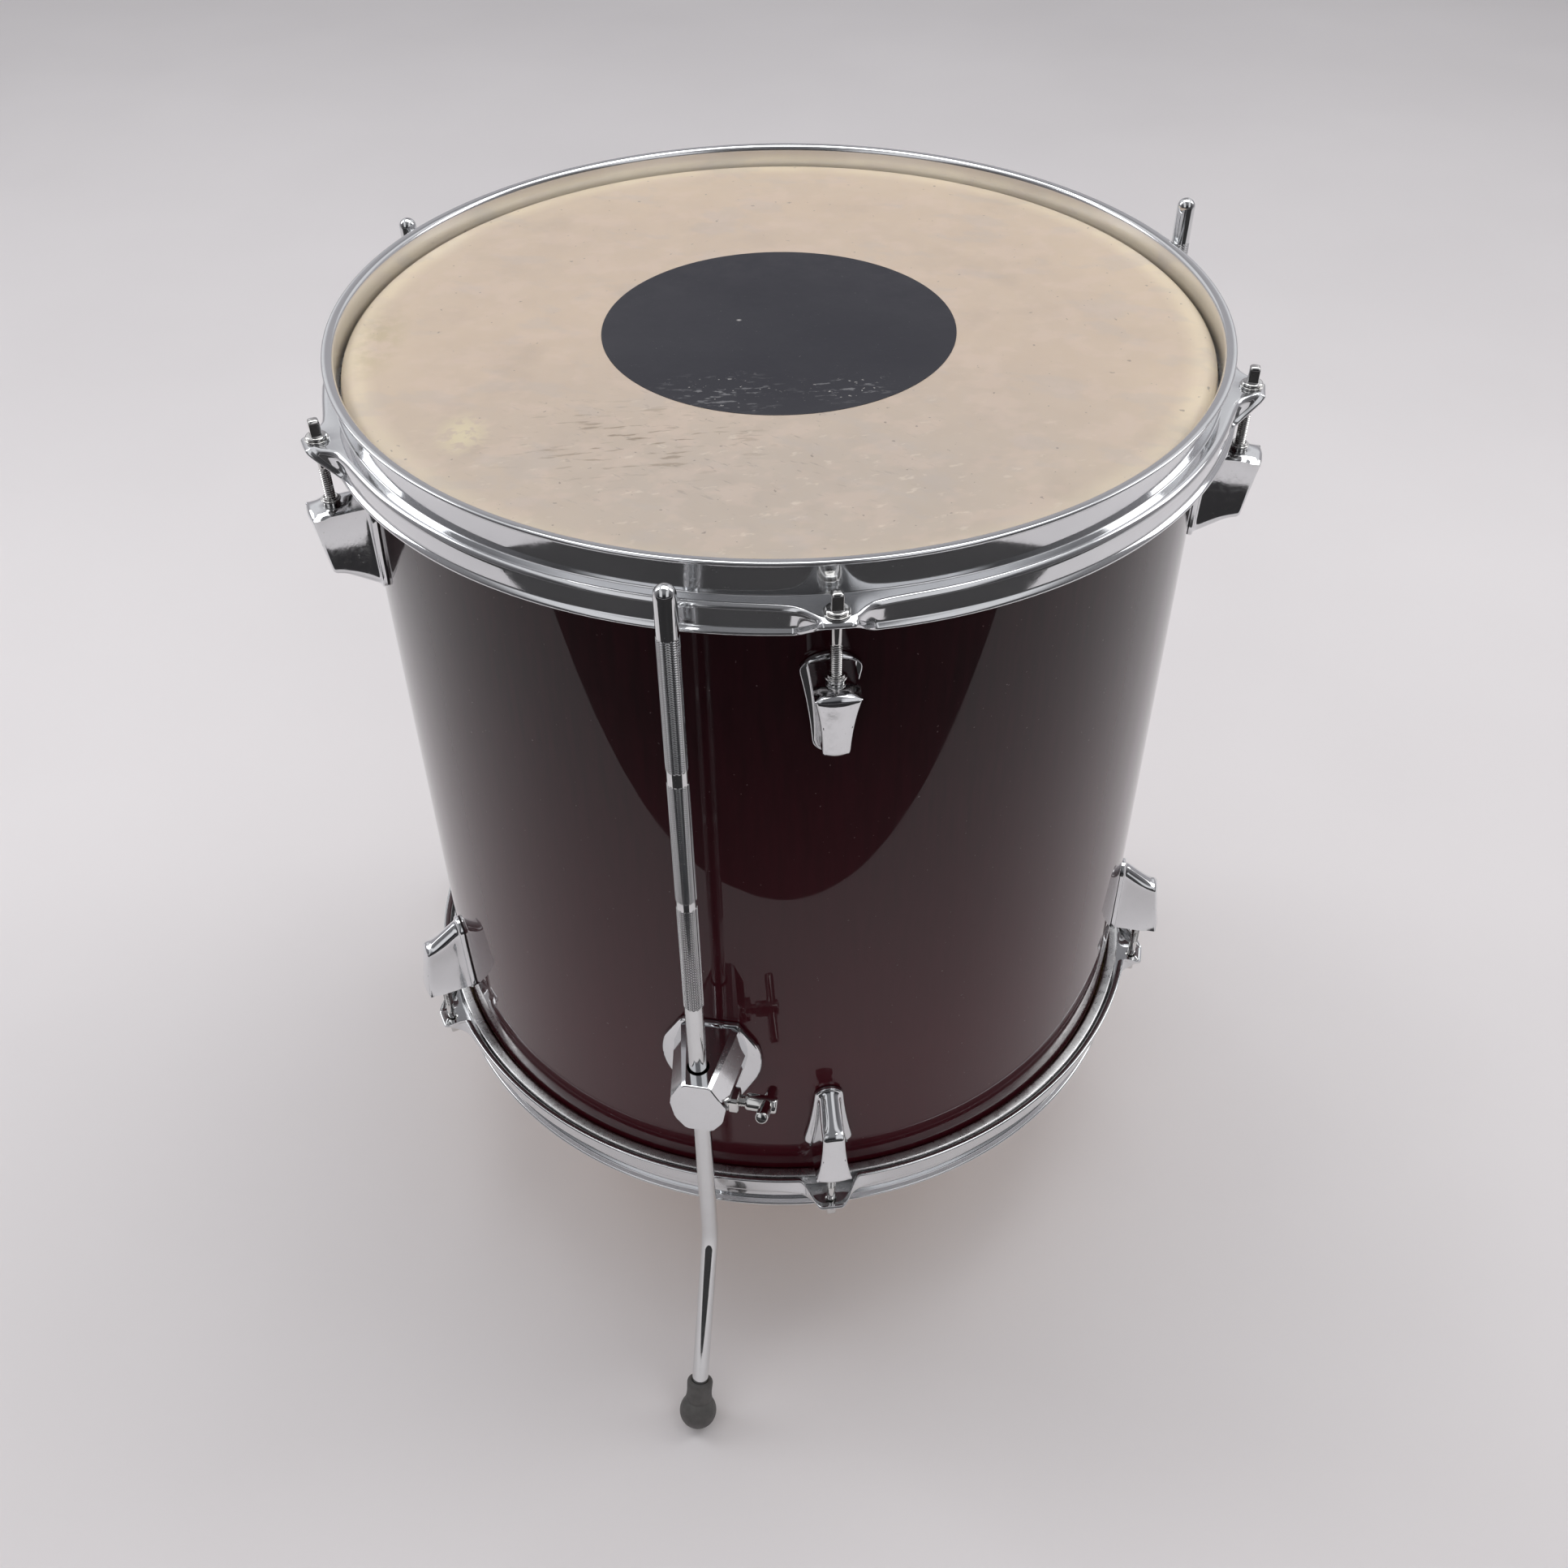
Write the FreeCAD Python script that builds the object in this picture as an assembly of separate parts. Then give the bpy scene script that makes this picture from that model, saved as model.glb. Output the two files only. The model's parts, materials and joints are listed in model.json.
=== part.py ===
import FreeCAD, Part
import math
import os

# Floor tom on three legs, in millimetres, +Z up.
# The origin is on the floor, on the drum's own axis. Azimuth 0 is the front (-Y) and grows towards +X.
# A "drop" is a distance below the batter playing surface, r is a distance from the drum's axis,
# and u is a sideways distance from the front radius, so every piece is drawn at the front and then turned.

V = FreeCAD.Vector
Z = V(0, 0, 1)

# ---------------------------------------------------------------- driving dimensions
SHELL_R = 203.2              # a 16 inch shell
SHELL_DEPTH = 406.4          # 16 inches between the two bearing edges
SHELL_WALL = 7.5             # seven wood plies
BEARING_IN = 3.0             # the bearing edge's crest lies this far in from the outside
BEARING_ROUND = 3.0

LUGS_PER_HEAD = 5
LUG_AZIMUTH = 5.4            # the first upper lug
RESONANT_TURN = 0.7          # the lower head's lugs stand this much further round
ROD_R = 219.6                # tension rod axis to drum axis

LEG_AZIMUTHS = (-10.6, 115.0, -121.8)
LEG_R = 231.0                # leg axis to drum axis
LEG_ROD_R = 4.5
LEG_TIPS_ABOVE_HEAD = (12.0, 20.4, 4.2)
LEG_BEND_BELOW_HEAD = 417.0
LEG_SPLAY = 27.0             # the lower leg leans outwards by this angle
LEG_BEND_R = 30.0
LEG_LOWER = 117.0            # from the bend's corner to the rod's end

FOOT_BALL_S = 112.0          # along the lower leg, from the bend's corner to the rubber ball's middle
FOOT_FLAT_DOWN = 9.6         # from the ball's middle to the flat that it stands on
FOOT_BALL_R = 10.3
FOOT_NECK_R = 7.2
FOOT_NECK_LEN = 20.0

RUN_GAP = 0.05               # radial clearance of a running fit
MARGIN = 5.0                 # how far a cutting tool reaches past what it cuts

# the batter playing surface, with the feet's flats on the floor at zero
HEAD_Z = LEG_BEND_BELOW_HEAD + FOOT_BALL_S * math.cos(math.radians(LEG_SPLAY)) + FOOT_FLAT_DOWN
MID_Z = HEAD_Z - SHELL_DEPTH / 2

# film, dot and flesh hoop
FILM_T = 0.4
FILM_FLAT_R = 200.4          # where the collar starts to fall
COLLAR_R = 204.1
COLLAR_DROP = 3.4
FILM_TUCK = 13.0
DOT_R = 83.8
DOT_T = 0.3
FLESH_IN_R = COLLAR_R + FILM_T / 2
FLESH_OUT_R = 210.3
FLESH_TOP = 9.5
FLESH_BOTTOM = 18.0
FLESH_CHAMFER = 1.2

# triple flanged hoop, whose radii and drops run along the middle of its sheet
HOOP_T = 2.0
HOOP_LIP_R = 209.6
HOOP_WALL_R = 206.3
HOOP_SKIRT_R = 212.6
HOOP_FLARE_R = 214.9
HOOP_LIP_DROP = -8.2
HOOP_SEAT_DROP = 8.5
HOOP_SKIRT_DROP = 18.6
HOOP_FLARE_DROP = 20.0
HOOP_BEND_R = 1.7
EAR_OUT_R = 226.0
EAR_HALF_W = 7.8
EAR_ROOT_HALF_W = 14.5
EAR_FLARE = 4.5              # how far out the ear reaches its straight width
EAR_CORNER = 4.0
EAR_HOLE_R = 3.2
EAR_WEB_T = 2.0

# tension rod, washer and swivel nut
ROD_SQUARE = 4.8
ROD_HEAD_TOP = -2.4
ROD_HEAD_SHOULDER = 0.6      # where the head's crown starts
ROD_FLANGE_TOP = 5.0
ROD_FLANGE_BOTTOM = 6.5
ROD_FLANGE_R = 4.6
ROD_SHANK_R = 2.2
ROD_THREAD_R = 2.4
ROD_THREAD_START = 21.0
ROD_END = 72.0
ROD_POINT = 1.5
WASHER_R = 5.1
WASHER_HOLE_R = 2.6
NUT_COLLAR_R = 4.7
NUT_COLLAR_TOP = 37.3
NUT_BODY_R = 3.8
NUT_END = 57.0
NUT_PLAY = 0.5

# lug
GASKET_T = 0.6
GASKET_INSET = 0.4
LUG_TOP = 41.0
LUG_BOTTOM = 86.0
LUG_PLATE_T = 2.2
LUG_PLATE_TOP = 37.0
LUG_PLATE_SHOULDER = (13.0, 44.5)
LUG_PLATE_WAIST = (9.4, 64.0)
LUG_PLATE_TOE = (7.4, 83.0)
LUG_PLATE_BOTTOM = 88.0
LUG_NOSE_R = 231.6
LUG_FACE_MIDDLE = (228.7, 60.0)
LUG_HEEL = (226.2, 74.0)
LUG_UNDERSIDE = (218.0, 80.5)
LUG_FACE_TOP_HALF_W = 9.3
LUG_FACE_WAIST = (6.6, 58.0)
LUG_FACE_TOE = (5.7, 74.0)
LUG_CROWN_R = 22.0           # the top's outer edge is an arc of this radius
LUG_ROD_BORE_R = ROD_THREAD_R + 0.4
LUG_SCREW_DROPS = (50.0, 77.0)

# screws, driven from inside the shell
SCREW_R = 1.95
SCREW_HOLE_R = 2.0
SCREW_HEAD_R = 4.0
SCREW_HEAD_T = 2.4
SCREW_SLOT_W = 1.1
SCREW_SLOT_DEEP = 1.0
SCREW_STAND_OFF = 0.9        # a flat head on a curved wall touches along its two sides
SCREW_HOLE_SPARE = 0.6
LUG_SCREW_TIP_R = 213.4

# leg bracket, clamp nut and wing bolt
BRACKET_PLATE_T = 2.5
BRACKET_PLATE_TOP = (14.5, 267.0)
BRACKET_PLATE_SHOULDER = (24.5, 285.0)
BRACKET_PLATE_MIDDLE = (25.8, 295.0)
BRACKET_PLATE_HIP = (23.8, 306.0)
BRACKET_PLATE_BOTTOM = (13.5, 326.0)
BRACKET_FACE_R = 243.0
BRACKET_ROOT = ((14.0, 268.5), (19.5, 287.0), (16.6, 301.0), (10.5, 313.0))
BRACKET_FACE = ((6.7, 269.5), (14.1, 284.0), (12.0, 296.0), (6.6, 304.0))
BRACKET_FACE_SHIFT = 1.6      # towards the clamp bolt
BRACKET_SCREWS = ((-11.0, 279.0), (11.0, 279.0), (-8.0, 304.0), (8.0, 304.0))
BRACKET_SCREW_TIP_R = 208.9
LEG_HOLE_R = LEG_ROD_R + 0.08
LEG_SINK_R = 5.6
LEG_SINK_TOP = 269.4
LEG_SINK_DEEP = 1.8
BOLT_DROP = 291.5
BOLT_R = 3.05
BOSS_R = 6.2
BOSS_END = 15.0
CLAMP_NUT_SIDE = 10.0
CLAMP_NUT_T = 3.6
CLAMP_NUT_PLAY = 0.3         # between the nut and the sides of its pocket
HUB_R = 4.2
HUB_START = 23.0
HUB_END = 38.5
BAR_R = 3.2
BAR_HALF = 18.0
BAR_CHAMFER = 1.0
BAR_U = 33.5
BAR_TILT = 31.0

# vent, on the side away from the front leg
VENT_AZIMUTH = 185.0
VENT_HOLE_R = 5.5
VENT_BORE_R = 4.5
VENT_FLANGE_R = 8.5
VENT_LIP_R = 7.1
VENT_FLANGE_T = 1.2
VENT_LIP_T = 1.4
VENT_SEAT = 0.2              # flange and lip start this deep in the wall, before the wall is cut away

parts = {}


# ---------------------------------------------------------------- placing
def add(name, shape):
    """Keep a finished shape under its node name."""
    parts[name] = shape


def turn(shape, azimuth):
    """Turn a shape made at the front to its azimuth about the drum's axis."""
    moved = shape.copy()
    moved.rotate(V(0, 0, 0), Z, azimuth)
    return moved


def flip(shape):
    """The same piece on the lower head."""
    return turn(shape.mirror(V(0, 0, MID_Z), Z), RESONANT_TURN)


def keep(shape):
    """The piece where it was made, on the upper head."""
    return shape


def at(u, r, drop):
    """A point beside the front radius."""
    return V(u, -r, HEAD_Z - drop)


def lug_azimuths():
    """The azimuth of every lug on one head."""
    step = 360.0 / LUGS_PER_HEAD
    return [LUG_AZIMUTH + step * i for i in range(LUGS_PER_HEAD)]


# ---------------------------------------------------------------- outlines
def wire_of(runs, place):
    """A closed wire of runs: two points make a line and three make an arc."""
    edges = []
    for run in runs:
        points = [place(*point) for point in run]
        if len(points) == 3:
            edges.append(Part.Arc(*points).toShape())
        else:
            edges.append(Part.makeLine(*points))
    return Part.Wire(edges)


def straight(points):
    """The runs of a closed outline with straight sides."""
    return [(points[i - 1], points[i]) for i in range(len(points))]


def mirrored(top, flank, bottom):
    """The runs of an outline whose left flank mirrors its right one."""
    left = [tuple((-u, drop) for u, drop in reversed(run)) for run in reversed(flank)]
    return [top] + flank + [bottom] + left


def front_outline(runs, r_in, r_out):
    """Extrude an outline of (u, drop) runs outwards between two radii."""
    wire = wire_of(runs, lambda u, drop: at(u, r_in, drop))
    return Part.Face(wire).extrude(V(0, r_in - r_out, 0))


def side_outline(runs, half_width):
    """Extrude an outline of (r, drop) runs sideways, the same each way."""
    wire = wire_of(runs, lambda r, drop: at(-half_width, r, drop))
    return Part.Face(wire).extrude(V(2 * half_width, 0, 0))


def spin(points):
    """Revolve a straight-sided outline of (r, drop) points about the drum's axis."""
    wire = wire_of(straight(points), lambda r, drop: V(r, 0, HEAD_Z - drop))
    return Part.Face(wire).revolve(V(0, 0, 0), Z, 360)


# ---------------------------------------------------------------- simple solids
def upright(r, radius, top, bottom):
    """A vertical cylinder on the front radius, between two drops."""
    return Part.makeCylinder(radius, bottom - top, at(0, r, bottom))


def radial(u, drop, radius, r_in, r_out):
    """A cylinder that runs outwards along the front radius."""
    return Part.makeCylinder(radius, r_out - r_in, at(u, r_in, drop), V(0, -1, 0))


def sideways(radius, u_start, u_end):
    """A cylinder on the clamp bolt's axis."""
    return Part.makeCylinder(radius, u_end - u_start, at(u_start, LEG_R, BOLT_DROP), V(1, 0, 0))


def ring(r_in, r_out, top, bottom):
    """A plain ring about the drum's axis, between two drops."""
    base = V(0, 0, HEAD_Z - bottom)
    outer = Part.makeCylinder(r_out, bottom - top, base)
    return outer.cut(Part.makeCylinder(r_in, bottom - top, base))


def curved_sheet(runs, r_in, thickness):
    """A plate with an outline of (u, drop) runs that wraps round the shell."""
    blank = front_outline(runs, r_in - MARGIN, r_in + MARGIN)
    box = blank.BoundBox
    return blank.common(ring(r_in, r_in + thickness, HEAD_Z - box.ZMax, HEAD_Z - box.ZMin))


# ---------------------------------------------------------------- bent sheet
def bend_angle(points, i):
    """How much the sheet turns at a corner."""
    return (points[i] - points[i - 1]).getAngle(points[i + 1] - points[i])


def bend_setback(points, i):
    """From a corner to where its arc starts."""
    return HOOP_BEND_R * math.tan(bend_angle(points, i) / 2)


def bend_arc(points, i, start, end):
    """The arc at a corner, on one side of the sheet."""
    back = (points[i - 1] - points[i]).normalize()
    ahead = (points[i + 1] - points[i]).normalize()
    inward = (back + ahead).normalize()
    centre = points[i] + inward * (HOOP_BEND_R / math.cos(bend_angle(points, i) / 2))
    middle = centre - inward * (start - centre).Length
    return Part.Arc(start, middle, end).toShape()


def bent_side(points, offset):
    """One side of a bent sheet: straight runs joined by arcs, offset sideways from its middle."""
    edges = []
    last = None
    for i in range(len(points) - 1):
        along = (points[i + 1] - points[i]).normalize()
        side = V(-along.z, 0, along.x) * offset
        start = points[i] + side
        end = points[i + 1] + side
        if i > 0:
            start = start + along * bend_setback(points, i)
        if i + 2 < len(points):
            end = end - along * bend_setback(points, i + 1)
        if last is not None:
            edges.append(bend_arc(points, i, last, start))
        edges.append(Part.makeLine(start, end))
        last = end
    return edges


def bent_sheet_ring(corners, thickness):
    """A rolled ring whose section is a sheet bent at each corner."""
    points = [V(r, 0, HEAD_Z - drop) for r, drop in corners]
    left = bent_side(points, thickness / 2)
    right = bent_side(points, -thickness / 2)
    first = Part.makeLine(left[0].Vertexes[0].Point, right[0].Vertexes[0].Point)
    last = Part.makeLine(left[-1].Vertexes[-1].Point, right[-1].Vertexes[-1].Point)
    wire = Part.Wire(Part.__sortEdges__(left + right + [first, last]))
    return Part.Face(wire).revolve(V(0, 0, 0), Z, 360)


# ---------------------------------------------------------------- shell
def shell_hole(u, drop, radius):
    """A drill through the shell's wall at the front."""
    return radial(u, drop, radius, SHELL_R - SHELL_WALL - MARGIN, SHELL_R + MARGIN)


def make_shell():
    """Plied wood cylinder with bearing edges, screw holes and a vent."""
    inner = SHELL_R - SHELL_WALL
    crest = SHELL_R - BEARING_IN
    slope = crest - inner
    top = FILM_T
    bottom = SHELL_DEPTH - FILM_T
    body = spin([(inner, top + slope), (crest, top), (SHELL_R, top + BEARING_ROUND),
                 (SHELL_R, bottom - BEARING_ROUND), (crest, bottom), (inner, bottom - slope)])
    holes = [turn(shell_hole(0, SHELL_DEPTH / 2, VENT_HOLE_R), VENT_AZIMUTH)]
    for drop in LUG_SCREW_DROPS:
        hole = shell_hole(0, drop, SCREW_HOLE_R)
        for azimuth in lug_azimuths():
            holes += [turn(hole, azimuth), turn(flip(hole), azimuth)]
    for u, drop in BRACKET_SCREWS:
        hole = shell_hole(u, drop, SCREW_HOLE_R)
        holes += [turn(hole, azimuth) for azimuth in LEG_AZIMUTHS]
    return body.cut(holes)


def make_vent_grommet():
    """Metal eyelet that lines the vent hole, with a flange outside and a rolled lip inside."""
    inner = SHELL_R - SHELL_WALL
    drop = SHELL_DEPTH / 2
    tube = radial(0, drop, VENT_HOLE_R, inner - VENT_LIP_T / 2, SHELL_R + VENT_FLANGE_T / 2)
    flange = radial(0, drop, VENT_FLANGE_R, SHELL_R - VENT_SEAT, SHELL_R + VENT_FLANGE_T)
    lip = radial(0, drop, VENT_LIP_R, inner - VENT_LIP_T, inner + VENT_SEAT)
    eyelet = tube.fuse([flange, lip]).cut(shell_hole(0, drop, VENT_BORE_R))
    wall = ring(inner, SHELL_R, drop - 2 * VENT_FLANGE_R, drop + 2 * VENT_FLANGE_R)
    return turn(eyelet.cut(wall.cut(shell_hole(0, drop, VENT_HOLE_R))), VENT_AZIMUTH)


# ---------------------------------------------------------------- heads
def make_film():
    """The drumhead: a flat film that turns down over the bearing edge."""
    out = COLLAR_R + FILM_T / 2
    inn = COLLAR_R - FILM_T / 2
    return spin([(0, 0), (FILM_FLAT_R, 0), (out, COLLAR_DROP), (out, FILM_TUCK),
                 (inn, FILM_TUCK), (inn, COLLAR_DROP), (FILM_FLAT_R, FILM_T), (0, FILM_T)])


def make_dot():
    """The round reinforcing disc bonded to the middle of the batter film."""
    return Part.makeCylinder(DOT_R, DOT_T, V(0, 0, HEAD_Z))


def make_flesh_hoop():
    """The metal ring that grips the film's edge."""
    return spin([(FLESH_IN_R, FLESH_TOP), (FLESH_OUT_R - FLESH_CHAMFER, FLESH_TOP),
                 (FLESH_OUT_R, FLESH_TOP + FLESH_CHAMFER), (FLESH_OUT_R, FLESH_BOTTOM - FLESH_CHAMFER),
                 (FLESH_OUT_R - FLESH_CHAMFER, FLESH_BOTTOM), (FLESH_IN_R, FLESH_BOTTOM)])


# ---------------------------------------------------------------- hoop
def make_ear():
    """The flat ear that a tension rod pulls on, with a web down each side to the skirt."""
    top = HOOP_SEAT_DROP - HOOP_T / 2
    bottom = HOOP_SEAT_DROP + HOOP_T / 2
    root_r = HOOP_SKIRT_R + 0.5
    half = [(EAR_ROOT_HALF_W, HOOP_WALL_R + HOOP_T), (EAR_ROOT_HALF_W, root_r),
            (EAR_HALF_W, root_r + EAR_FLARE), (EAR_HALF_W, EAR_OUT_R - EAR_CORNER),
            (EAR_HALF_W - EAR_CORNER, EAR_OUT_R)]
    plan = half + [(-u, r) for u, r in reversed(half)]
    ear = Part.Face(wire_of(straight(plan), lambda u, r: at(u, r, bottom))).extrude(V(0, 0, HOOP_T))
    web = [(root_r, top + 0.5), (EAR_OUT_R - EAR_CORNER, top + 0.5), (EAR_OUT_R - EAR_CORNER, bottom),
           (root_r, HOOP_SKIRT_DROP - 0.5)]
    webs = side_outline(straight(web), EAR_HALF_W)
    return ear.fuse(webs.cut(side_outline(straight(web), EAR_HALF_W - EAR_WEB_T))).removeSplitter()


def make_hoop():
    """Triple flanged hoop with an ear for every tension rod."""
    corners = [(HOOP_LIP_R, HOOP_LIP_DROP), (HOOP_WALL_R, HOOP_LIP_DROP),
               (HOOP_WALL_R, HOOP_SEAT_DROP), (HOOP_SKIRT_R, HOOP_SEAT_DROP),
               (HOOP_SKIRT_R, HOOP_SKIRT_DROP), (HOOP_FLARE_R, HOOP_FLARE_DROP)]
    hoop = bent_sheet_ring(corners, HOOP_T)
    under = HOOP_SEAT_DROP + HOOP_T / 2
    inside = HOOP_SKIRT_R - HOOP_T
    low = HOOP_FLARE_DROP + MARGIN
    opening = straight([(inside, under), (EAR_OUT_R, under), (EAR_OUT_R, low), (inside, low)])
    window = side_outline(opening, EAR_HALF_W - EAR_WEB_T)
    hole = upright(ROD_R, EAR_HOLE_R, HOOP_SEAT_DROP - MARGIN, HOOP_SEAT_DROP + MARGIN)
    ear = make_ear()
    hoop = hoop.cut([turn(window, a) for a in lug_azimuths()])
    hoop = hoop.fuse([turn(ear, a) for a in lug_azimuths()])
    return hoop.cut([turn(hole, a) for a in lug_azimuths()]).removeSplitter()


# ---------------------------------------------------------------- tension rod, washer, swivel nut
def make_rod():
    """Square-headed tension rod with a plain shank and a threaded end."""
    half = ROD_SQUARE / 2
    head_height = ROD_FLANGE_TOP - ROD_HEAD_TOP
    square = Part.makeBox(ROD_SQUARE, ROD_SQUARE, head_height, at(-half, ROD_R + half, ROD_FLANGE_TOP))
    crown_height = ROD_HEAD_SHOULDER - ROD_HEAD_TOP
    crown = Part.makeCone(half * 1.9, half * 1.15, crown_height, at(0, ROD_R, ROD_HEAD_SHOULDER), Z)
    head = square.common(crown.fuse(upright(ROD_R, half * 1.9, ROD_HEAD_SHOULDER, ROD_FLANGE_TOP)))
    flange = upright(ROD_R, ROD_FLANGE_R, ROD_FLANGE_TOP, ROD_FLANGE_BOTTOM)
    shank = upright(ROD_R, ROD_SHANK_R, ROD_FLANGE_BOTTOM, ROD_THREAD_START)
    thread = upright(ROD_R, ROD_THREAD_R, ROD_THREAD_START, ROD_END - ROD_POINT)
    point_base = at(0, ROD_R, ROD_END - ROD_POINT)
    point = Part.makeCone(ROD_THREAD_R, ROD_THREAD_R / 2, ROD_POINT, point_base, V(0, 0, -1))
    return head.fuse([flange, shank, thread, point]).removeSplitter()


def make_washer():
    """Flat washer between the rod's flange and the hoop's ear."""
    bottom = HOOP_SEAT_DROP - HOOP_T / 2
    hole = upright(ROD_R, WASHER_HOLE_R, ROD_FLANGE_BOTTOM - MARGIN, bottom + MARGIN)
    return upright(ROD_R, WASHER_R, ROD_FLANGE_BOTTOM, bottom).cut(hole)


def make_nut():
    """Swivel nut: a collar on the lug's top and a body inside it."""
    collar = upright(ROD_R, NUT_COLLAR_R, NUT_COLLAR_TOP, LUG_TOP)
    body = upright(ROD_R, NUT_BODY_R, NUT_COLLAR_TOP, NUT_END)
    bore = upright(ROD_R, ROD_THREAD_R + RUN_GAP, NUT_COLLAR_TOP - MARGIN, NUT_END + MARGIN)
    return collar.fuse(body).cut(bore).removeSplitter()


# ---------------------------------------------------------------- lug
def lug_plate_outline(inset):
    """The lug's base: an arched broad end towards the hoop and a narrow round end."""
    shoulder_u, shoulder = LUG_PLATE_SHOULDER
    waist_u, waist = LUG_PLATE_WAIST
    toe_u, toe = LUG_PLATE_TOE
    right = [(shoulder_u - inset, shoulder), (waist_u - inset, waist), (toe_u - inset, toe)]
    top = ((inset - shoulder_u, shoulder), (0, LUG_PLATE_TOP + inset), right[0])
    bottom = (right[2], (0, LUG_PLATE_BOTTOM - inset), (inset - toe_u, toe))
    return mirrored(top, [tuple(right)], bottom)


def make_lug():
    """Cast lug: a base plate that wraps the shell and a waisted nose with a flat top."""
    base_r = SHELL_R + GASKET_T
    plate = curved_sheet(lug_plate_outline(0.0), base_r, LUG_PLATE_T)
    root_r = base_r + LUG_PLATE_T / 2
    side = [((root_r, LUG_TOP), (LUG_NOSE_R, LUG_TOP)), ((LUG_NOSE_R, LUG_TOP), LUG_FACE_MIDDLE, LUG_HEEL),
            (LUG_HEEL, LUG_UNDERSIDE, (root_r, LUG_BOTTOM)), ((root_r, LUG_BOTTOM), (root_r, LUG_TOP))]
    top = ((-LUG_FACE_TOP_HALF_W, LUG_TOP), (LUG_FACE_TOP_HALF_W, LUG_TOP))
    flank = [((LUG_FACE_TOP_HALF_W, LUG_TOP), LUG_FACE_WAIST, LUG_FACE_TOE)]
    toe_u, toe = LUG_FACE_TOE
    face = mirrored(top, flank, ((toe_u, toe), (0, LUG_BOTTOM), (-toe_u, toe)))
    nose = side_outline(side, 2 * LUG_FACE_TOP_HALF_W)
    nose = nose.common(front_outline(face, base_r, LUG_NOSE_R + MARGIN))
    nose = nose.common(upright(LUG_NOSE_R - LUG_CROWN_R, LUG_CROWN_R, LUG_PLATE_TOP, LUG_PLATE_BOTTOM))
    pocket = upright(ROD_R, NUT_BODY_R + RUN_GAP, LUG_TOP - MARGIN, NUT_END + NUT_PLAY)
    bore = upright(ROD_R, LUG_ROD_BORE_R, LUG_TOP, ROD_END + 2 * NUT_PLAY)
    holes = [radial(0, drop, SCREW_HOLE_R, SHELL_R - MARGIN, LUG_SCREW_TIP_R + SCREW_HOLE_SPARE)
             for drop in LUG_SCREW_DROPS]
    return plate.fuse(nose).cut([pocket, bore] + holes).removeSplitter()


def make_lug_gasket():
    """Thin gasket under a lug."""
    sheet = curved_sheet(lug_plate_outline(GASKET_INSET), SHELL_R, GASKET_T)
    return sheet.cut([shell_hole(0, drop, SCREW_HOLE_R) for drop in LUG_SCREW_DROPS])


def make_screw(u, drop, tip_r):
    """Slotted screw from inside the shell."""
    seat = SHELL_R - SHELL_WALL - SCREW_STAND_OFF
    head = radial(u, drop, SCREW_HEAD_R, seat - SCREW_HEAD_T, seat)
    slot_corner = at(u - 2 * SCREW_HEAD_R, seat - SCREW_HEAD_T + SCREW_SLOT_DEEP, drop + SCREW_SLOT_W / 2)
    slot = Part.makeBox(4 * SCREW_HEAD_R, SCREW_SLOT_DEEP, SCREW_SLOT_W, slot_corner)
    return head.cut(slot).fuse(radial(u, drop, SCREW_R, seat, tip_r)).removeSplitter()


# ---------------------------------------------------------------- leg bracket
def bracket_plate_outline(inset):
    """Six-sided base with bulged flanks."""
    corners = (BRACKET_PLATE_TOP, BRACKET_PLATE_SHOULDER, BRACKET_PLATE_MIDDLE, BRACKET_PLATE_HIP,
               BRACKET_PLATE_BOTTOM)
    start, shoulder, middle, hip, end = [(u - inset, drop) for u, drop in corners]
    start = (start[0], start[1] + inset)
    end = (end[0], end[1] - inset)
    top = ((-start[0], start[1]), start)
    bottom = (end, (-end[0], end[1]))
    return mirrored(top, [(start, shoulder), (shoulder, middle, hip), (hip, end)], bottom)


def octagon(right, shift):
    """Eight straight runs: flat top, two slopes a side and flat bottom, with its middle at u = shift."""
    corners = list(right) + [(-u, drop) for u, drop in reversed(right)]
    return straight([(u + shift, drop) for u, drop in corners])


def make_bracket():
    """Faceted cast block that the leg passes down through, on a base that wraps the shell."""
    base_r = SHELL_R + GASKET_T
    plate = curved_sheet(bracket_plate_outline(0.0), base_r, BRACKET_PLATE_T)
    root_r = base_r + BRACKET_PLATE_T / 2
    rear = octagon(BRACKET_ROOT, 0)
    front = octagon(BRACKET_FACE, BRACKET_FACE_SHIFT)
    block = Part.makeLoft([wire_of(rear, lambda u, drop: at(u, root_r, drop)),
                           wire_of(front, lambda u, drop: at(u, BRACKET_FACE_R, drop))], True, True)
    block = block.fuse(sideways(BOSS_R, 0, BOSS_END))
    solid = plate.fuse(block.cut(Part.makeCylinder(base_r, SHELL_DEPTH, V(0, 0, HEAD_Z - SHELL_DEPTH))))
    low = BRACKET_PLATE_BOTTOM[1] + MARGIN
    sink = Part.makeCone(LEG_HOLE_R, LEG_SINK_R, LEG_SINK_DEEP, at(0, LEG_R, LEG_SINK_TOP + LEG_SINK_DEEP), Z)
    cuts = [upright(LEG_R, LEG_HOLE_R, LEG_SINK_TOP - MARGIN, low), sink,
            upright(LEG_R, LEG_SINK_R, LEG_SINK_TOP - MARGIN, LEG_SINK_TOP),
            sideways(BOLT_R + RUN_GAP, 0, BOSS_END + MARGIN), nut_block(CLAMP_NUT_PLAY, MARGIN)]
    for u, drop in BRACKET_SCREWS:
        cuts.append(radial(u, drop, SCREW_HOLE_R, SHELL_R - MARGIN, BRACKET_SCREW_TIP_R + SCREW_HOLE_SPARE))
    return solid.cut(cuts).removeSplitter()


def make_bracket_gasket():
    """Thin gasket under a leg bracket."""
    sheet = curved_sheet(bracket_plate_outline(GASKET_INSET), SHELL_R, GASKET_T)
    return sheet.cut([shell_hole(u, drop, SCREW_HOLE_R) for u, drop in BRACKET_SCREWS])


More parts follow.
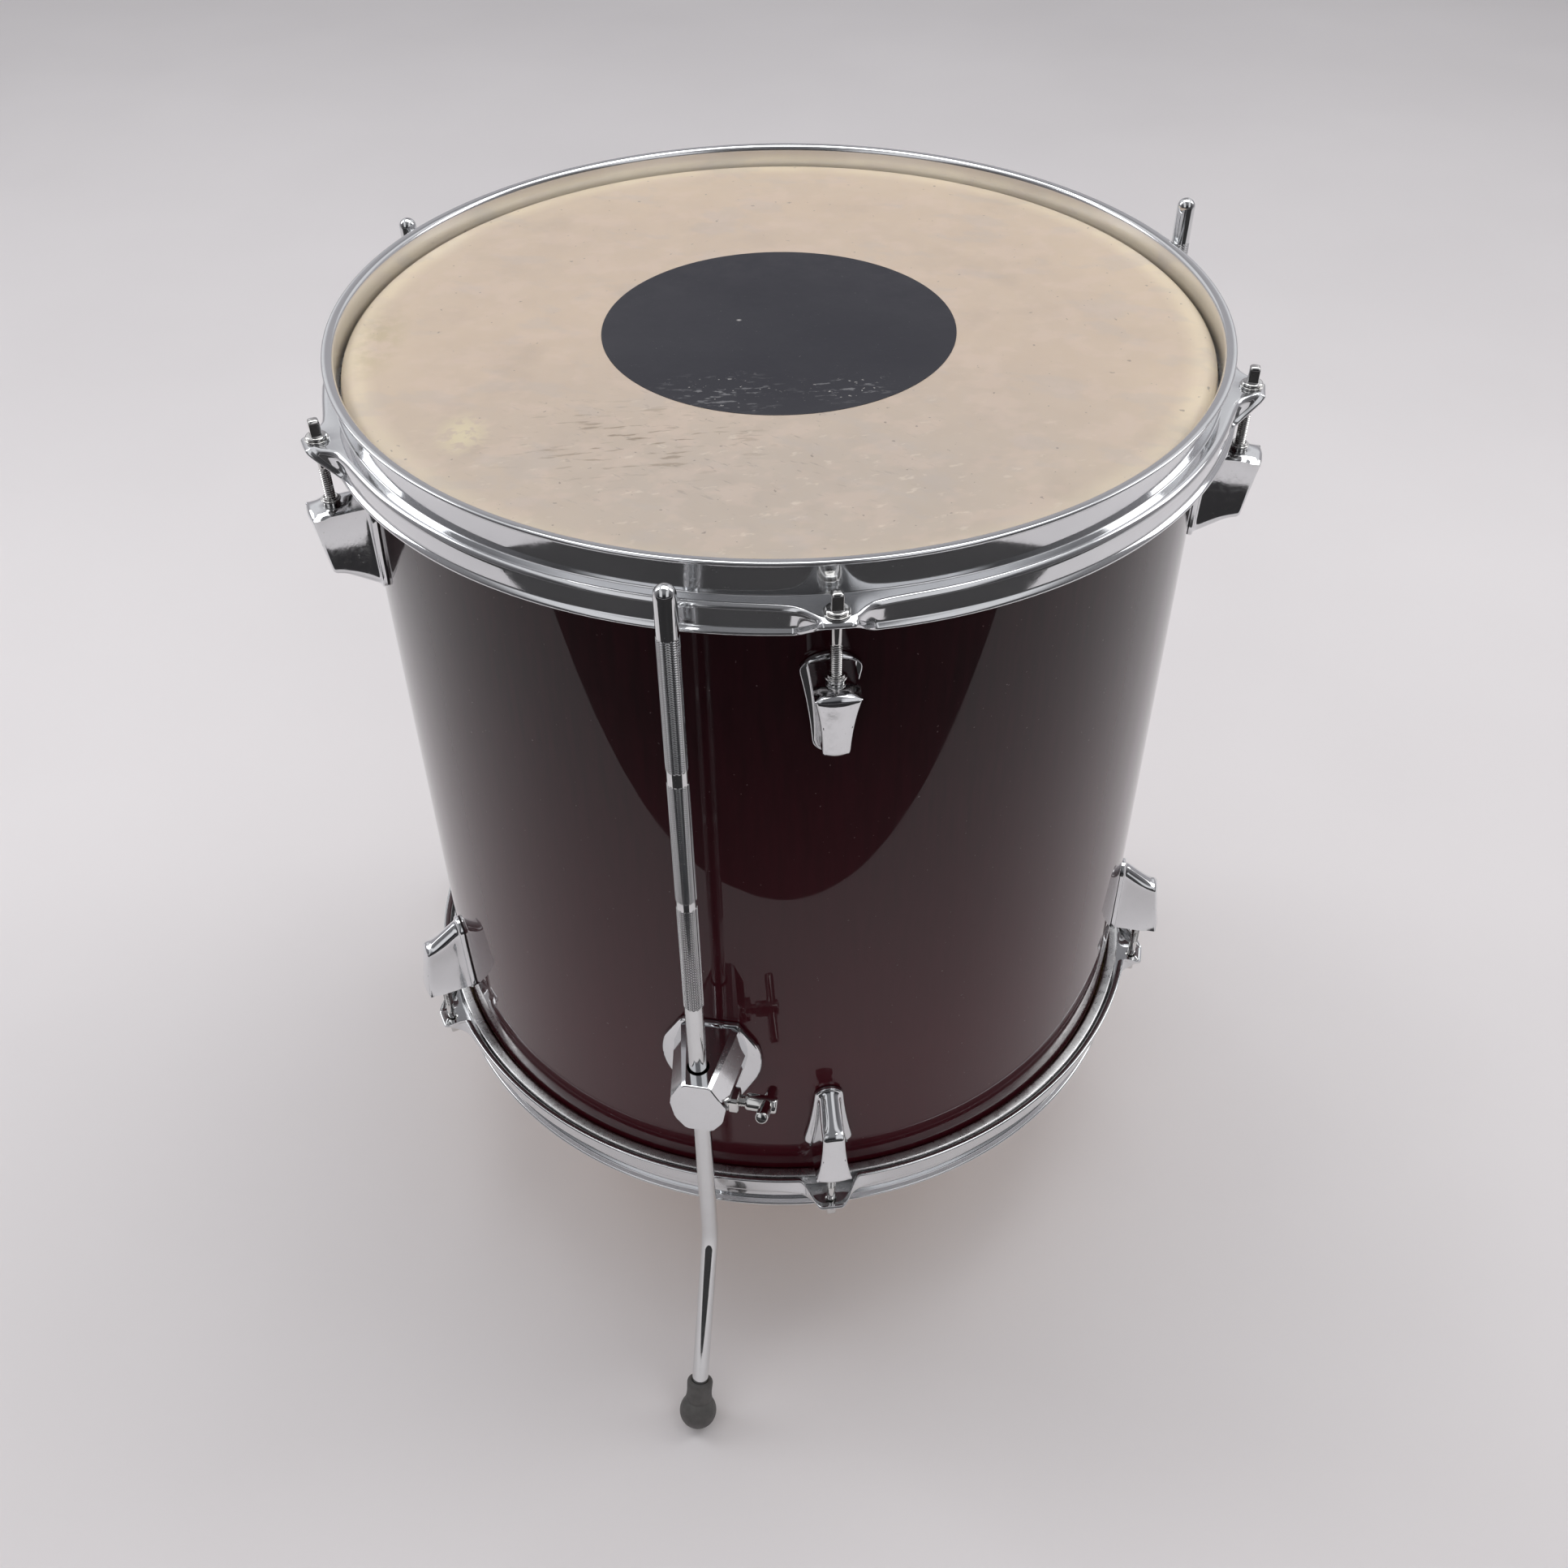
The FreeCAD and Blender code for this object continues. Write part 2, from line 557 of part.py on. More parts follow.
def nut_block(play, thickness):
    """A square block on the boss, bigger than the clamp nut by the play on each side."""
    half = CLAMP_NUT_SIDE / 2 + play
    corner = at(BOSS_END, LEG_R + half, BOLT_DROP + half)
    return Part.makeBox(thickness, 2 * half, 2 * half, corner)


def make_clamp_nut():
    """Square nut that the wing bolt runs in, seated on the bracket's boss."""
    nut = nut_block(0, CLAMP_NUT_T)
    return nut.cut(sideways(BOLT_R + RUN_GAP, 0, BOSS_END + 2 * CLAMP_NUT_T))


def make_wing_bolt():
    """T-handled clamp bolt: a screw, a hub and a round bar across it."""
    screw = sideways(BOLT_R, LEG_ROD_R + RUN_GAP, HUB_START)
    hub = sideways(HUB_R, HUB_START, HUB_END)
    tilt = math.radians(BAR_TILT)
    along = V(0, -math.cos(tilt), math.sin(tilt))
    middle = at(BAR_U, LEG_R, BOLT_DROP)
    reach = BAR_HALF - BAR_CHAMFER
    bar = [Part.makeCylinder(BAR_R, 2 * reach, middle - along * reach, along)]
    for side in (-1, 1):
        end = middle + along * (side * reach)
        bar.append(Part.makeCone(BAR_R, BAR_R - BAR_CHAMFER, BAR_CHAMFER, end, along * side))
    return screw.fuse([hub] + bar).removeSplitter()


# ---------------------------------------------------------------- leg and foot
def lower_leg_direction():
    """The way that the lower leg runs, down and outwards."""
    lean = math.radians(LEG_SPLAY)
    return V(0, -math.sin(lean), -math.cos(lean))


def make_leg(tip_above_head):
    """Steel rod leg with a domed top, one bend and a splayed lower end."""
    corner = at(0, LEG_R, LEG_BEND_BELOW_HEAD)
    out = lower_leg_direction()
    setback = LEG_BEND_R * math.tan(math.radians(LEG_SPLAY) / 2)
    bend_top = corner + Z * setback
    tip = at(0, LEG_R, -tip_above_head)
    upper = Part.makeCylinder(LEG_ROD_R, (tip - bend_top).Length - LEG_ROD_R, bend_top, Z)
    dome = Part.makeSphere(LEG_ROD_R, tip - Z * LEG_ROD_R)
    section = Part.Face(Part.Wire(Part.makeCircle(LEG_ROD_R, bend_top, Z)))
    elbow = section.revolve(bend_top - V(0, LEG_BEND_R, 0), V(-1, 0, 0), LEG_SPLAY)
    lower = Part.makeCylinder(LEG_ROD_R, LEG_LOWER - setback, corner + out * setback, out)
    return upper.fuse([dome, elbow, lower]).removeSplitter()


def make_foot():
    """Rubber foot: a neck round the rod and a ball with a small flat."""
    corner = at(0, LEG_R, LEG_BEND_BELOW_HEAD)
    out = lower_leg_direction()
    middle = corner + out * FOOT_BALL_S
    neck = Part.makeCylinder(FOOT_NECK_R, FOOT_NECK_LEN, middle - out * FOOT_NECK_LEN, out)
    size = 4 * FOOT_NECK_LEN
    above_floor = Part.makeBox(size, size, size, middle - V(size / 2, size / 2, FOOT_FLAT_DOWN))
    foot = Part.makeSphere(FOOT_BALL_R, middle).fuse(neck).common(above_floor)
    return foot.cut(Part.makeCylinder(LEG_ROD_R, LEG_LOWER, corner, out)).removeSplitter()


# ---------------------------------------------------------------- assembly
def add_head(name, place):
    """The film, hoops, rods, nuts and lugs of one head; gives back its gaskets and lug screws."""
    add(f"{name}_head_film", place(make_film()))
    add(f"{name}_flesh_hoop", place(make_flesh_hoop()))
    add(f"{name}_hoop", place(make_hoop()))
    rod = place(make_rod())
    lug = place(make_lug())
    washer = place(make_washer())
    nut = place(make_nut())
    gasket = place(make_lug_gasket())
    screws = [place(make_screw(0, drop, LUG_SCREW_TIP_R)) for drop in LUG_SCREW_DROPS]
    azimuths = lug_azimuths()
    for i, azimuth in enumerate(azimuths, start=1):
        add(f"{name}_tension_rod_{i}", turn(rod, azimuth))
        add(f"{name}_lug_{i}", turn(lug, azimuth))
    add(f"{name}_rod_washers", Part.makeCompound([turn(washer, a) for a in azimuths]))
    add(f"{name}_swivel_nuts", Part.makeCompound([turn(nut, a) for a in azimuths]))
    return [turn(gasket, a) for a in azimuths], [turn(screw, a) for a in azimuths for screw in screws]


def add_legs():
    """The three brackets with their legs, feet, clamp bolts, nuts, gaskets and screws."""
    pieces = {"leg_bracket": make_bracket(), "wing_bolt": make_wing_bolt(), "foot": make_foot()}
    for name, shape in pieces.items():
        for i, azimuth in enumerate(LEG_AZIMUTHS, start=1):
            add(f"{name}_{i}", turn(shape, azimuth))
    for i, tip in enumerate(LEG_TIPS_ABOVE_HEAD, start=1):
        add(f"leg_{i}", turn(make_leg(tip), LEG_AZIMUTHS[i - 1]))
    screws = [make_screw(u, drop, BRACKET_SCREW_TIP_R) for u, drop in BRACKET_SCREWS]
    add("clamp_nuts", Part.makeCompound([turn(make_clamp_nut(), a) for a in LEG_AZIMUTHS]))
    add("bracket_gaskets", Part.makeCompound([turn(make_bracket_gasket(), a) for a in LEG_AZIMUTHS]))
    add("bracket_screws", Part.makeCompound([turn(screw, a) for a in LEG_AZIMUTHS for screw in screws]))


def build():
    """Make every piece in its place."""
    add("shell", make_shell())
    add("vent_grommet", make_vent_grommet())
    batter_gaskets, batter_screws = add_head("batter", keep)
    resonant_gaskets, resonant_screws = add_head("resonant", flip)
    add("batter_head_dot", make_dot())
    add("lug_gaskets", Part.makeCompound(batter_gaskets + resonant_gaskets))
    add("lug_screws", Part.makeCompound(batter_screws + resonant_screws))
    add_legs()


build()
os.makedirs("parts", exist_ok=True)
whole = FreeCAD.BoundBox()
for name, shape in parts.items():
    if not shape.isValid():
        print("not valid:", name)
    shape.exportStep(f"parts/{name}.step")
    whole.add(shape.BoundBox)
print(len(parts), "nodes", whole)
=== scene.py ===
import json
from math import atan2, cos, degrees, hypot, pi, radians, sin, sqrt, tan

import bpy
import bmesh
from mathutils import Matrix, Vector


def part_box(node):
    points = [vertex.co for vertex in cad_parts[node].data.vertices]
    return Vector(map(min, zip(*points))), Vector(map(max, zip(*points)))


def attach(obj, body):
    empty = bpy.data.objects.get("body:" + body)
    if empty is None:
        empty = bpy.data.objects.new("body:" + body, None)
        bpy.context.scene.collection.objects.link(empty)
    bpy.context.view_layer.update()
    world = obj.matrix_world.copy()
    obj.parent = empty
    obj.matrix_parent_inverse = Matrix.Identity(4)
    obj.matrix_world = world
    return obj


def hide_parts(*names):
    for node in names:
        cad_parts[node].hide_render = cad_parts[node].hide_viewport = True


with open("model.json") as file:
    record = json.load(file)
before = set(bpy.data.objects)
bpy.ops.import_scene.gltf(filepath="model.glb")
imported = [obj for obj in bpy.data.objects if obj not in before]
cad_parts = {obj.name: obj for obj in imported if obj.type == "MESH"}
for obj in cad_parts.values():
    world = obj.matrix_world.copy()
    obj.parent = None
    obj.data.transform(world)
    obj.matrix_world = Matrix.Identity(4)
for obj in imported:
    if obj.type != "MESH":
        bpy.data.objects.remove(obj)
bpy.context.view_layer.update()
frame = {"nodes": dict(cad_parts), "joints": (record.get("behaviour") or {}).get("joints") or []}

# Floor tom on three legs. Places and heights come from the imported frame, in metres. The shapes are drawn in
# millimetres at the drum's front (-Y) and turned to their azimuth about its axis. In them, r is a distance
# from that axis, drop a distance below the playing surface, and u a distance to the right.

MM = 0.001
WELD = 1e-7  # metres
ACROSS, BACK, UP = Vector((1, 0, 0)), Vector((0, 1, 0)), Vector((0, 0, 1))
DOWN = -UP


# ---- the frame's own levels
def centre_of(node):
    """The middle of a CAD node's box, in metres."""
    low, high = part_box(node)
    return (low + high) / 2


HEAD_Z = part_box("batter_head_film")[1].z / MM
LOW_HEAD_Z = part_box("resonant_head_film")[0].z / MM
SHELL_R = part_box("shell")[1].x / MM
MID_Z = (HEAD_Z + LOW_HEAD_Z) / 2
HEADS = ("batter", "resonant")


def azimuth_of(node):
    """Where a CAD node stands round the drum, in degrees from the front towards +X."""
    middle = centre_of(node)
    return degrees(atan2(middle.x, -middle.y))


def radius_of(node):
    """How far a CAD node's middle is from the drum's axis, in millimetres."""
    middle = centre_of(node)
    return hypot(middle.x, middle.y) / MM


RODS = [f"batter_tension_rod_{i}" for i in range(1, 6)]
ROD_AZIMUTHS = [azimuth_of(rod) for rod in RODS]
LOWER_TURN = azimuth_of("resonant_tension_rod_1") - ROD_AZIMUTHS[0]  # how much further round its rods are
ROD_R = sum(radius_of(rod) for rod in RODS) / 5
JOINTS = {joint["name"]: joint for joint in frame["joints"]}
BOLTS = [JOINTS[f"wing_bolt_{i}_turn"]["pos_m"] for i in (1, 2, 3)]  # on the legs' axes
LEG_PLACES = [(i, degrees(atan2(x, -y))) for i, (x, y, _) in enumerate(BOLTS, 1)]
LEG_R = hypot(*BOLTS[0][:2]) / MM
BOLT_DROP = HEAD_Z - BOLTS[0][2] / MM


# ---- placing
def at(u, r, drop):
    """A point beside the front radius of the upper head, in millimetres."""
    return Vector((u, -r, HEAD_Z - drop))


def turned(azimuth):
    """The matrix that takes the front to an azimuth."""
    return Matrix.Rotation(radians(azimuth), 4, "Z")


def place_of(head, azimuth):
    """From the upper head's front to an azimuth on either head; the lower head is its mirror."""
    if head == "batter":
        return turned(azimuth)
    mirror = Matrix.Translation((0, 0, 2 * MID_Z)) @ Matrix.Scale(-1, 4, UP)
    return mirror @ turned(azimuth + LOWER_TURN)


# ---- mesh building
class Sheet:
    """Points and faces of one piece, in millimetres, gathered from several parts."""

    def __init__(self):
        self.points = []
        self.faces = []

    def grid(self, rows, closed_row=True, closed_col=False):
        """Quads between rows of points, which can join each row's ends, and the last row to the first."""
        start = len(self.points)
        width = len(rows[0])
        for row in rows:
            self.points += [Vector(point) for point in row]
        last_row = len(rows) if closed_col else len(rows) - 1
        last_col = width if closed_row else width - 1
        for i in range(last_row):
            for j in range(last_col):
                below = (i + 1) % len(rows)
                beside = (j + 1) % width
                self.faces.append((start + i * width + j, start + i * width + beside,
                                   start + below * width + beside, start + below * width + j))
        return start

    def cap(self, start, width, flipped=False):
        """One face over a row of points."""
        ring = list(range(start, start + width))
        self.faces.append(tuple(reversed(ring)) if flipped else tuple(ring))

    def tube(self, rows):
        """A closed solid of rings, with a flat end at each side."""
        start = self.grid(rows)
        width = len(rows[0])
        self.cap(start, width, True)
        self.cap(start + (len(rows) - 1) * width, width)

    def piece(self, name, material, matrix=Matrix(), sharp=32.0):
        """Makes the Blender object, with outward faces and edges over the sharp angle kept crisp."""
        mesh = bpy.data.meshes.new(name)
        mesh.from_pydata([matrix @ point * MM for point in self.points], [], self.faces)
        mesh.validate()
        finish_mesh(mesh, sharp, WELD)
        mesh.materials.append(material)
        return new_object(name, mesh)


def finish_mesh(mesh, sharp, weld=0.0):
    """Shades a mesh smooth up to an angle in degrees; welding joins its points and turns it outwards."""
    work = bmesh.new()
    work.from_mesh(mesh)
    if weld:
        bmesh.ops.remove_doubles(work, verts=work.verts, dist=weld)
        bmesh.ops.recalc_face_normals(work, faces=work.faces)
    for face in work.faces:
        face.smooth = True
    for edge in work.edges:
        edge.smooth = len(edge.link_faces) != 2 or edge.calc_face_angle(0.0) < radians(sharp)
    work.to_mesh(mesh)
    work.free()


def new_object(name, data):
    """Adds an object to the scene."""
    obj = bpy.data.objects.new(name, data)
    bpy.context.scene.collection.objects.link(obj)
    return obj


def finish_piece(obj, body, nodes):
    """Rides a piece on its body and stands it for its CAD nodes."""
    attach(obj, body)
    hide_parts(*nodes)


def circle(centre, radius, across, up, count):
    """A ring of points about a centre, in the plane of two directions."""
    points = []
    for i in range(count):
        angle = 2 * pi * i / count
        points.append(centre + across * (radius * cos(angle)) + up * (radius * sin(angle)))
    return points


def level_ring(centre, radius, count):
    """A level ring of points."""
    return circle(centre, radius, ACROSS, BACK, count)


def frame_of(axis):
    """A unit axis with two unit directions across it."""
    axis = axis.normalized()
    across = axis.orthogonal().normalized()
    return axis, across, axis.cross(across)


def rounded(points, radius, steps=5):
    """A polyline of (x, y) points with an arc of that radius at each inner corner."""
    result = [Vector(points[0])]
    for i in range(1, len(points) - 1):
        corner = Vector(points[i])
        back = Vector(points[i - 1]) - corner
        ahead = Vector(points[i + 1]) - corner
        turn = pi - back.angle(ahead)
        reach = min(radius * tan(turn / 2), 0.49 * back.length, 0.49 * ahead.length)
        bend = reach / tan(turn / 2)
        back.normalize()
        ahead.normalize()
        middle = corner + (back + ahead).normalized() * (bend / cos(turn / 2))
        first = corner + back * reach - middle
        last = corner + ahead * reach - middle
        for step in range(steps + 1):
            share = step / steps
            swing = sin((1 - share) * turn) * first + sin(share * turn) * last
            result.append(middle + swing / sin(turn))
    result.append(Vector(points[-1]))
    return result


def smooth_step(value, low, high):
    """From 0 at low to 1 at high, easing at both ends."""
    share = min(1.0, max(0.0, (value - low) / (high - low)))
    return share * share * (3 - 2 * share)


# ---- materials
def new_material(name):
    """An empty node material with its Principled shader."""
    material = bpy.data.materials.new(name)
    material.use_nodes = True
    tree = material.node_tree
    return material, tree, tree.nodes["Principled BSDF"]


def feed(tree, node, **inputs):
    """Sets a node's inputs to values, or links them to sockets."""
    for name, value in inputs.items():
        socket = node.inputs[name.replace("_", " ")]
        if isinstance(value, bpy.types.NodeSocket):
            tree.links.new(value, socket)
        else:
            socket.default_value = value


def add_node(tree, kind, settings=None, **inputs):
    """A shader node of a kind, with some of its settings and inputs."""
    node = tree.nodes.new("ShaderNode" + kind)
    for name, value in (settings or {}).items():
        setattr(node, name, value)
    feed(tree, node, **inputs)
    return node


def object_point(tree):
    """The point being shaded, in the piece's own frame, in metres."""
    return add_node(tree, "TexCoord").outputs["Object"]


def noise_of(tree, scale, detail=4.0, roughness=0.55, source=None):
    """Noise whose features are about 1/scale metres across."""
    node = add_node(tree, "TexNoise", Scale=scale, Detail=detail, Roughness=roughness,
                    Vector=source or object_point(tree))
    return node.outputs["Fac"]


def ramp(tree, factor, stops):
    """A colour ramp: stops are (position, colour or grey)."""
    node = add_node(tree, "ValToRGB", Fac=factor)
    elements = node.color_ramp.elements
    while len(elements) < len(stops):
        elements.new(0.5)
    for element, (position, value) in zip(elements, stops):
        element.position = position
        colour = (value, value, value) if isinstance(value, float) else value
        element.color = (*colour, 1.0)
    return node.outputs["Color"]


def fill_inputs(tree, node, values):
    """Sets or links inputs by their index; a colour is given without its alpha."""
    for index, value in values.items():
        if isinstance(value, bpy.types.NodeSocket):
            tree.links.new(value, node.inputs[index])
        else:
            node.inputs[index].default_value = (*value, 1.0) if isinstance(value, tuple) else value


def mix(tree, factor, first, second):
    """Mixes two colours by a factor; each may be a socket or a value."""
    node = add_node(tree, "Mix", {"data_type": "RGBA"})
    fill_inputs(tree, node, {0: factor, 6: first, 7: second})
    return node.outputs[2]


def calc(tree, operation, first, second=0.5):
    """One sum on two sockets or numbers."""
    node = add_node(tree, "Math", {"operation": operation})
    fill_inputs(tree, node, {0: first, 1: second})
    return node.outputs[0]


def product(tree, first, second):
    """The product of two sockets or numbers."""
    return calc(tree, "MULTIPLY", first, second)


def tinted(tree, tone, layers):
    """Lays colours over a tone, one by one: layers are (mask, strength, colour)."""
    for mask, strength, colour in layers:
        tone = mix(tree, product(tree, mask, strength), tone, colour)
    return tone


def specks(tree, scale, detail, low, high):
    """Small round spots where noise passes a level: 1 in a spot."""
    return ramp(tree, noise_of(tree, scale, detail), [(low, 0.0), (high, 1.0)])


def bump(tree, shader, height, distance, strength=1.0, target="Normal"):
    """Raises the shader's normal by a height in metres."""
    node = add_node(tree, "Bump", Strength=strength, Distance=distance, Height=height)
    tree.links.new(node.outputs["Normal"], shader.inputs[target])


def make_chrome(name, plating, pits, metallic=1.0, dull_inside=None):
    """Bright plating: faint haze and wipe marks, fine pits and a little dulling, more inside a radius."""
    material, tree, shader = new_material(name)
    haze = noise_of(tree, 60.0, 5.0)
    smears = noise_of(tree, 420.0, 3.0)
    rough = ramp(tree, product(tree, haze, smears), [(0.12, 0.035), (0.40, 0.11)])
    pit = specks(tree, 1500.0, 2.0, 0.70 - pits, 0.76 - pits)
    tone = mix(tree, haze, plating, tuple(0.90 * value for value in plating))
    if dull_inside is not None:
        inside = ramp(tree, from_axis(tree), [(dull_inside, 1.0), (dull_inside + 0.0006, 0.0)])
        rough = mix(tree, inside, rough, (0.34, 0.34, 0.34))
    feed(tree, shader, Metallic=metallic, Base_Color=tinted(tree, tone, [(pit, 0.45, (0.16, 0.15, 0.14))]),
         Roughness=tinted(tree, rough, [(pit, 0.6, (0.45, 0.45, 0.45))]))
    bump(tree, shader, noise_of(tree, 900.0, 2.0), 0.00001, 0.5)
    return material


def make_lacquer():
    """Dark wine stain in wood under a thick clear coat, with faint upright grain, dust and painted light from
    the floor, a brighter red towards the bottom.
    """
    material, tree, shader = new_material("wine_lacquer")
    stretch = add_node(tree, "Mapping", Scale=(1.0, 1.0, 0.10), Vector=object_point(tree))
    grain = noise_of(tree, 260.0, 6.0, 0.62, stretch.outputs["Vector"])
    height = add_node(tree, "SeparateXYZ", Vector=object_point(tree))
    # painted light: the shell's colour turns a brighter red towards its bottom, standing in for light from
    # the floor
    lower = ramp(tree, height.outputs["Z"], [(0.22, 1.0), (0.46, 0.0)])
    wood = ramp(tree, grain, [(0.30, (0.010, 0.0008, 0.0018)), (0.62, (0.019, 0.0014, 0.0037))])
    colour = tinted(tree, wood, [
        (noise_of(tree, 9.0, 3.0), 0.55, (0.013, 0.0010, 0.0028)),
        (lower, 0.45, (0.092, 0.006, 0.014)),
        (specks(tree, 620.0, 1.0, 0.775, 0.80), 0.16, (0.50, 0.40, 0.40)),
    ])
    wear = ramp(tree, noise_of(tree, 35.0, 5.0), [(0.42, 0.012), (0.72, 0.045)])
    feed(tree, shader, Base_Color=colour, Roughness=0.45, Specular_IOR_Level=0.08, Coat_Weight=1.0,
         Coat_IOR=1.36, Coat_Roughness=wear)
    bump(tree, shader, noise_of(tree, 28.0, 2.0), 0.00004, 0.35, "Coat Normal")
    return material


def length_of(tree, vector):
    """The length of a vector."""
    node = add_node(tree, "VectorMath", {"operation": "LENGTH"}, Vector=vector)
    return node.outputs["Value"]


def distance_from(tree, x, y, spread_x, spread_y):
    """Falls from 1 at a spot on a head to 0 about a spread away, in metres."""
    shift = add_node(tree, "Mapping", {"vector_type": "POINT"}, Vector=object_point(tree),
                     Location=(-x / spread_x, -y / spread_y, 0.0),
                     Scale=(1.0 / spread_x, 1.0 / spread_y, 0.0))
    return ramp(tree, length_of(tree, shift.outputs["Vector"]), [(0.25, 1.0), (1.0, 0.0)])


def from_axis(tree):
    """The distance from the drum's axis, in metres."""
    flat = add_node(tree, "VectorMath", {"operation": "MULTIPLY"}, Vector=object_point(tree))
    flat.inputs[1].default_value = (1.0, 1.0, 0.0)
    return length_of(tree, flat.outputs["Vector"])


def scuffs(tree, scale, length, turn, low, high):
    """Short scratches at an angle from +X, some times as long as wide: 1 where a mark is."""
    mapping = add_node(tree, "Mapping", {"vector_type": "TEXTURE"}, Vector=object_point(tree),
                       Rotation=(0.0, 0.0, radians(turn)), Scale=(length, 1.0, 1.0))
    return ramp(tree, noise_of(tree, scale, 3.0, 0.6, mapping.outputs["Vector"]), [(low, 0.0), (high, 1.0)])


def wear_and_shade_of_film(tree):
    """The layers of stick marks, grime and stains on the playing head, with a painted shade over its near
    side.
    """
    played = distance_from(tree, -0.062, -0.104, 0.075, 0.042)
    around = distance_from(tree, -0.030, -0.110, 0.130, 0.075)
    # painted shade: a broad patch over the head's near side, painted darker; the pale scuffs keep to it too
    shaded_near_side = distance_from(tree, 0.000, -0.150, 0.240, 0.130)
    streaks = product(tree, scuffs(tree, 300.0, 5.0, 6.0, 0.58, 0.65), played)
    crossed = product(tree, scuffs(tree, 420.0, 4.0, -35.0, 0.63, 0.69), around)
    pale = product(tree, scuffs(tree, 190.0, 2.0, 15.0, 0.62, 0.70), shaded_near_side)
    stain = product(tree, distance_from(tree, -0.136, -0.097, 0.013, 0.020),
                    specks(tree, 150.0, 4.0, 0.42, 0.52))
    tarnish = product(tree, distance_from(tree, -0.187, -0.010, 0.014, 0.046),
                      specks(tree, 90.0, 4.0, 0.42, 0.58))
    return [
        # painted shade over the near side
        (shaded_near_side, 0.62, (0.455, 0.395, 0.345)),
        (scuffs(tree, 55.0, 1.3, 8.0, 0.50, 0.60), 0.26, (0.68, 0.53, 0.44)),
        (scuffs(tree, 38.0, 1.6, -20.0, 0.55, 0.62), 0.20, (0.46, 0.42, 0.40)),
        (streaks, 0.62, (0.20, 0.150, 0.100)),
        (crossed, 0.45, (0.24, 0.20, 0.18)),
        (specks(tree, 260.0, 2.0, 0.715, 0.745), 0.55, (0.17, 0.14, 0.13)),
        (pale, 0.35, (0.80, 0.70, 0.58)),
        (stain, 0.55, (0.76, 0.67, 0.42)),
        (tarnish, 0.50, (0.47, 0.39, 0.23)),
        (specks(tree, 24.0, 5.0, 0.55, 0.72), 0.16, (0.30, 0.25, 0.22)),
    ]


def make_film(name, worn):
    """Cream polyester film, painted paler and yellower over its collar: painted light standing in for light
    the chrome hoop throws onto it. A worn film also gets stick marks, grime, stains and a painted shade over
    its near side.
    """
    material, tree, shader = new_material(name)
    # painted light: paler, yellower tones from the film's rounded edge out over its collar, standing in for
    # light the chrome hoop throws onto it
    tone = ramp(tree, from_axis(tree), [(0.0, (0.60, 0.475, 0.370)), (0.150, (0.605, 0.475, 0.365)),
                                        (0.189, (0.64, 0.505, 0.38)), (0.195, (0.79, 0.65, 0.47)),
                                        (0.202, (0.84, 0.70, 0.51))])
    clouds = (specks(tree, 11.0, 4.0, 0.35, 0.70), 0.30, (0.50, 0.405, 0.335))
    tone = tinted(tree, tone, [clouds] + (wear_and_shade_of_film(tree) if worn else []))
    rough = ramp(tree, noise_of(tree, 90.0), [(0.35, 0.34), (0.70, 0.52)])
    feed(tree, shader, Base_Color=tone, Roughness=rough, Subsurface_Weight=0.12, Subsurface_Scale=0.004,
         Subsurface_Radius=(1.0, 0.7, 0.4))
    bump(tree, shader, noise_of(tree, 700.0, 3.0), 0.00002, 0.5)
    return material


def make_dot_film():
    """Slate-grey film with pale chips and scuffs towards the player."""
    material, tree, shader = new_material("dot_film_grey")
    tone = ramp(tree, noise_of(tree, 14.0), [(0.35, (0.026, 0.026, 0.034)), (0.70, (0.034, 0.034, 0.042))])
    left = distance_from(tree, -0.026, -0.064, 0.034, 0.022)
    near = calc(tree, "MAXIMUM", left, distance_from(tree, 0.030, -0.060, 0.026, 0.016))
    tone = tinted(tree, tone, [
        (product(tree, specks(tree, 420.0, 2.0, 0.68, 0.71), near), 0.60, (0.62, 0.60, 0.58)),
        (distance_from(tree, -0.019, 0.007, 0.0015, 0.0012), 0.6, (0.60, 0.58, 0.56)),
        (product(tree, scuffs(tree, 360.0, 3.0, 4.0, 0.58, 0.64), near), 0.45, (0.32, 0.32, 0.33)),
        (specks(tree, 1100.0, 1.0, 0.76, 0.79), 0.25, (0.45, 0.44, 0.43)),
    ])
    rough = ramp(tree, noise_of(tree, 60.0), [(0.35, 0.42), (0.70, 0.58)])
    feed(tree, shader, Base_Color=tone, Roughness=rough, Specular_IOR_Level=0.24)
    bump(tree, shader, noise_of(tree, 900.0, 3.0), 0.00002, 0.5)
    return material


def make_plain(name, light, dark, rough, metallic, grain_scale, grain_height):
    """A two-tone material with fine grain, for rubber, gaskets, screws and aluminium."""
    material, tree, shader = new_material(name)
    tone = ramp(tree, noise_of(tree, grain_scale / 8), [(0.35, dark), (0.68, light)])
    spread_of = ramp(tree, noise_of(tree, grain_scale / 3), [(0.35, rough - 0.07), (0.70, rough + 0.08)])
    feed(tree, shader, Base_Color=tone, Roughness=spread_of, Metallic=metallic)
    bump(tree, shader, noise_of(tree, grain_scale, 3.0), grain_height, 0.8)
    return material


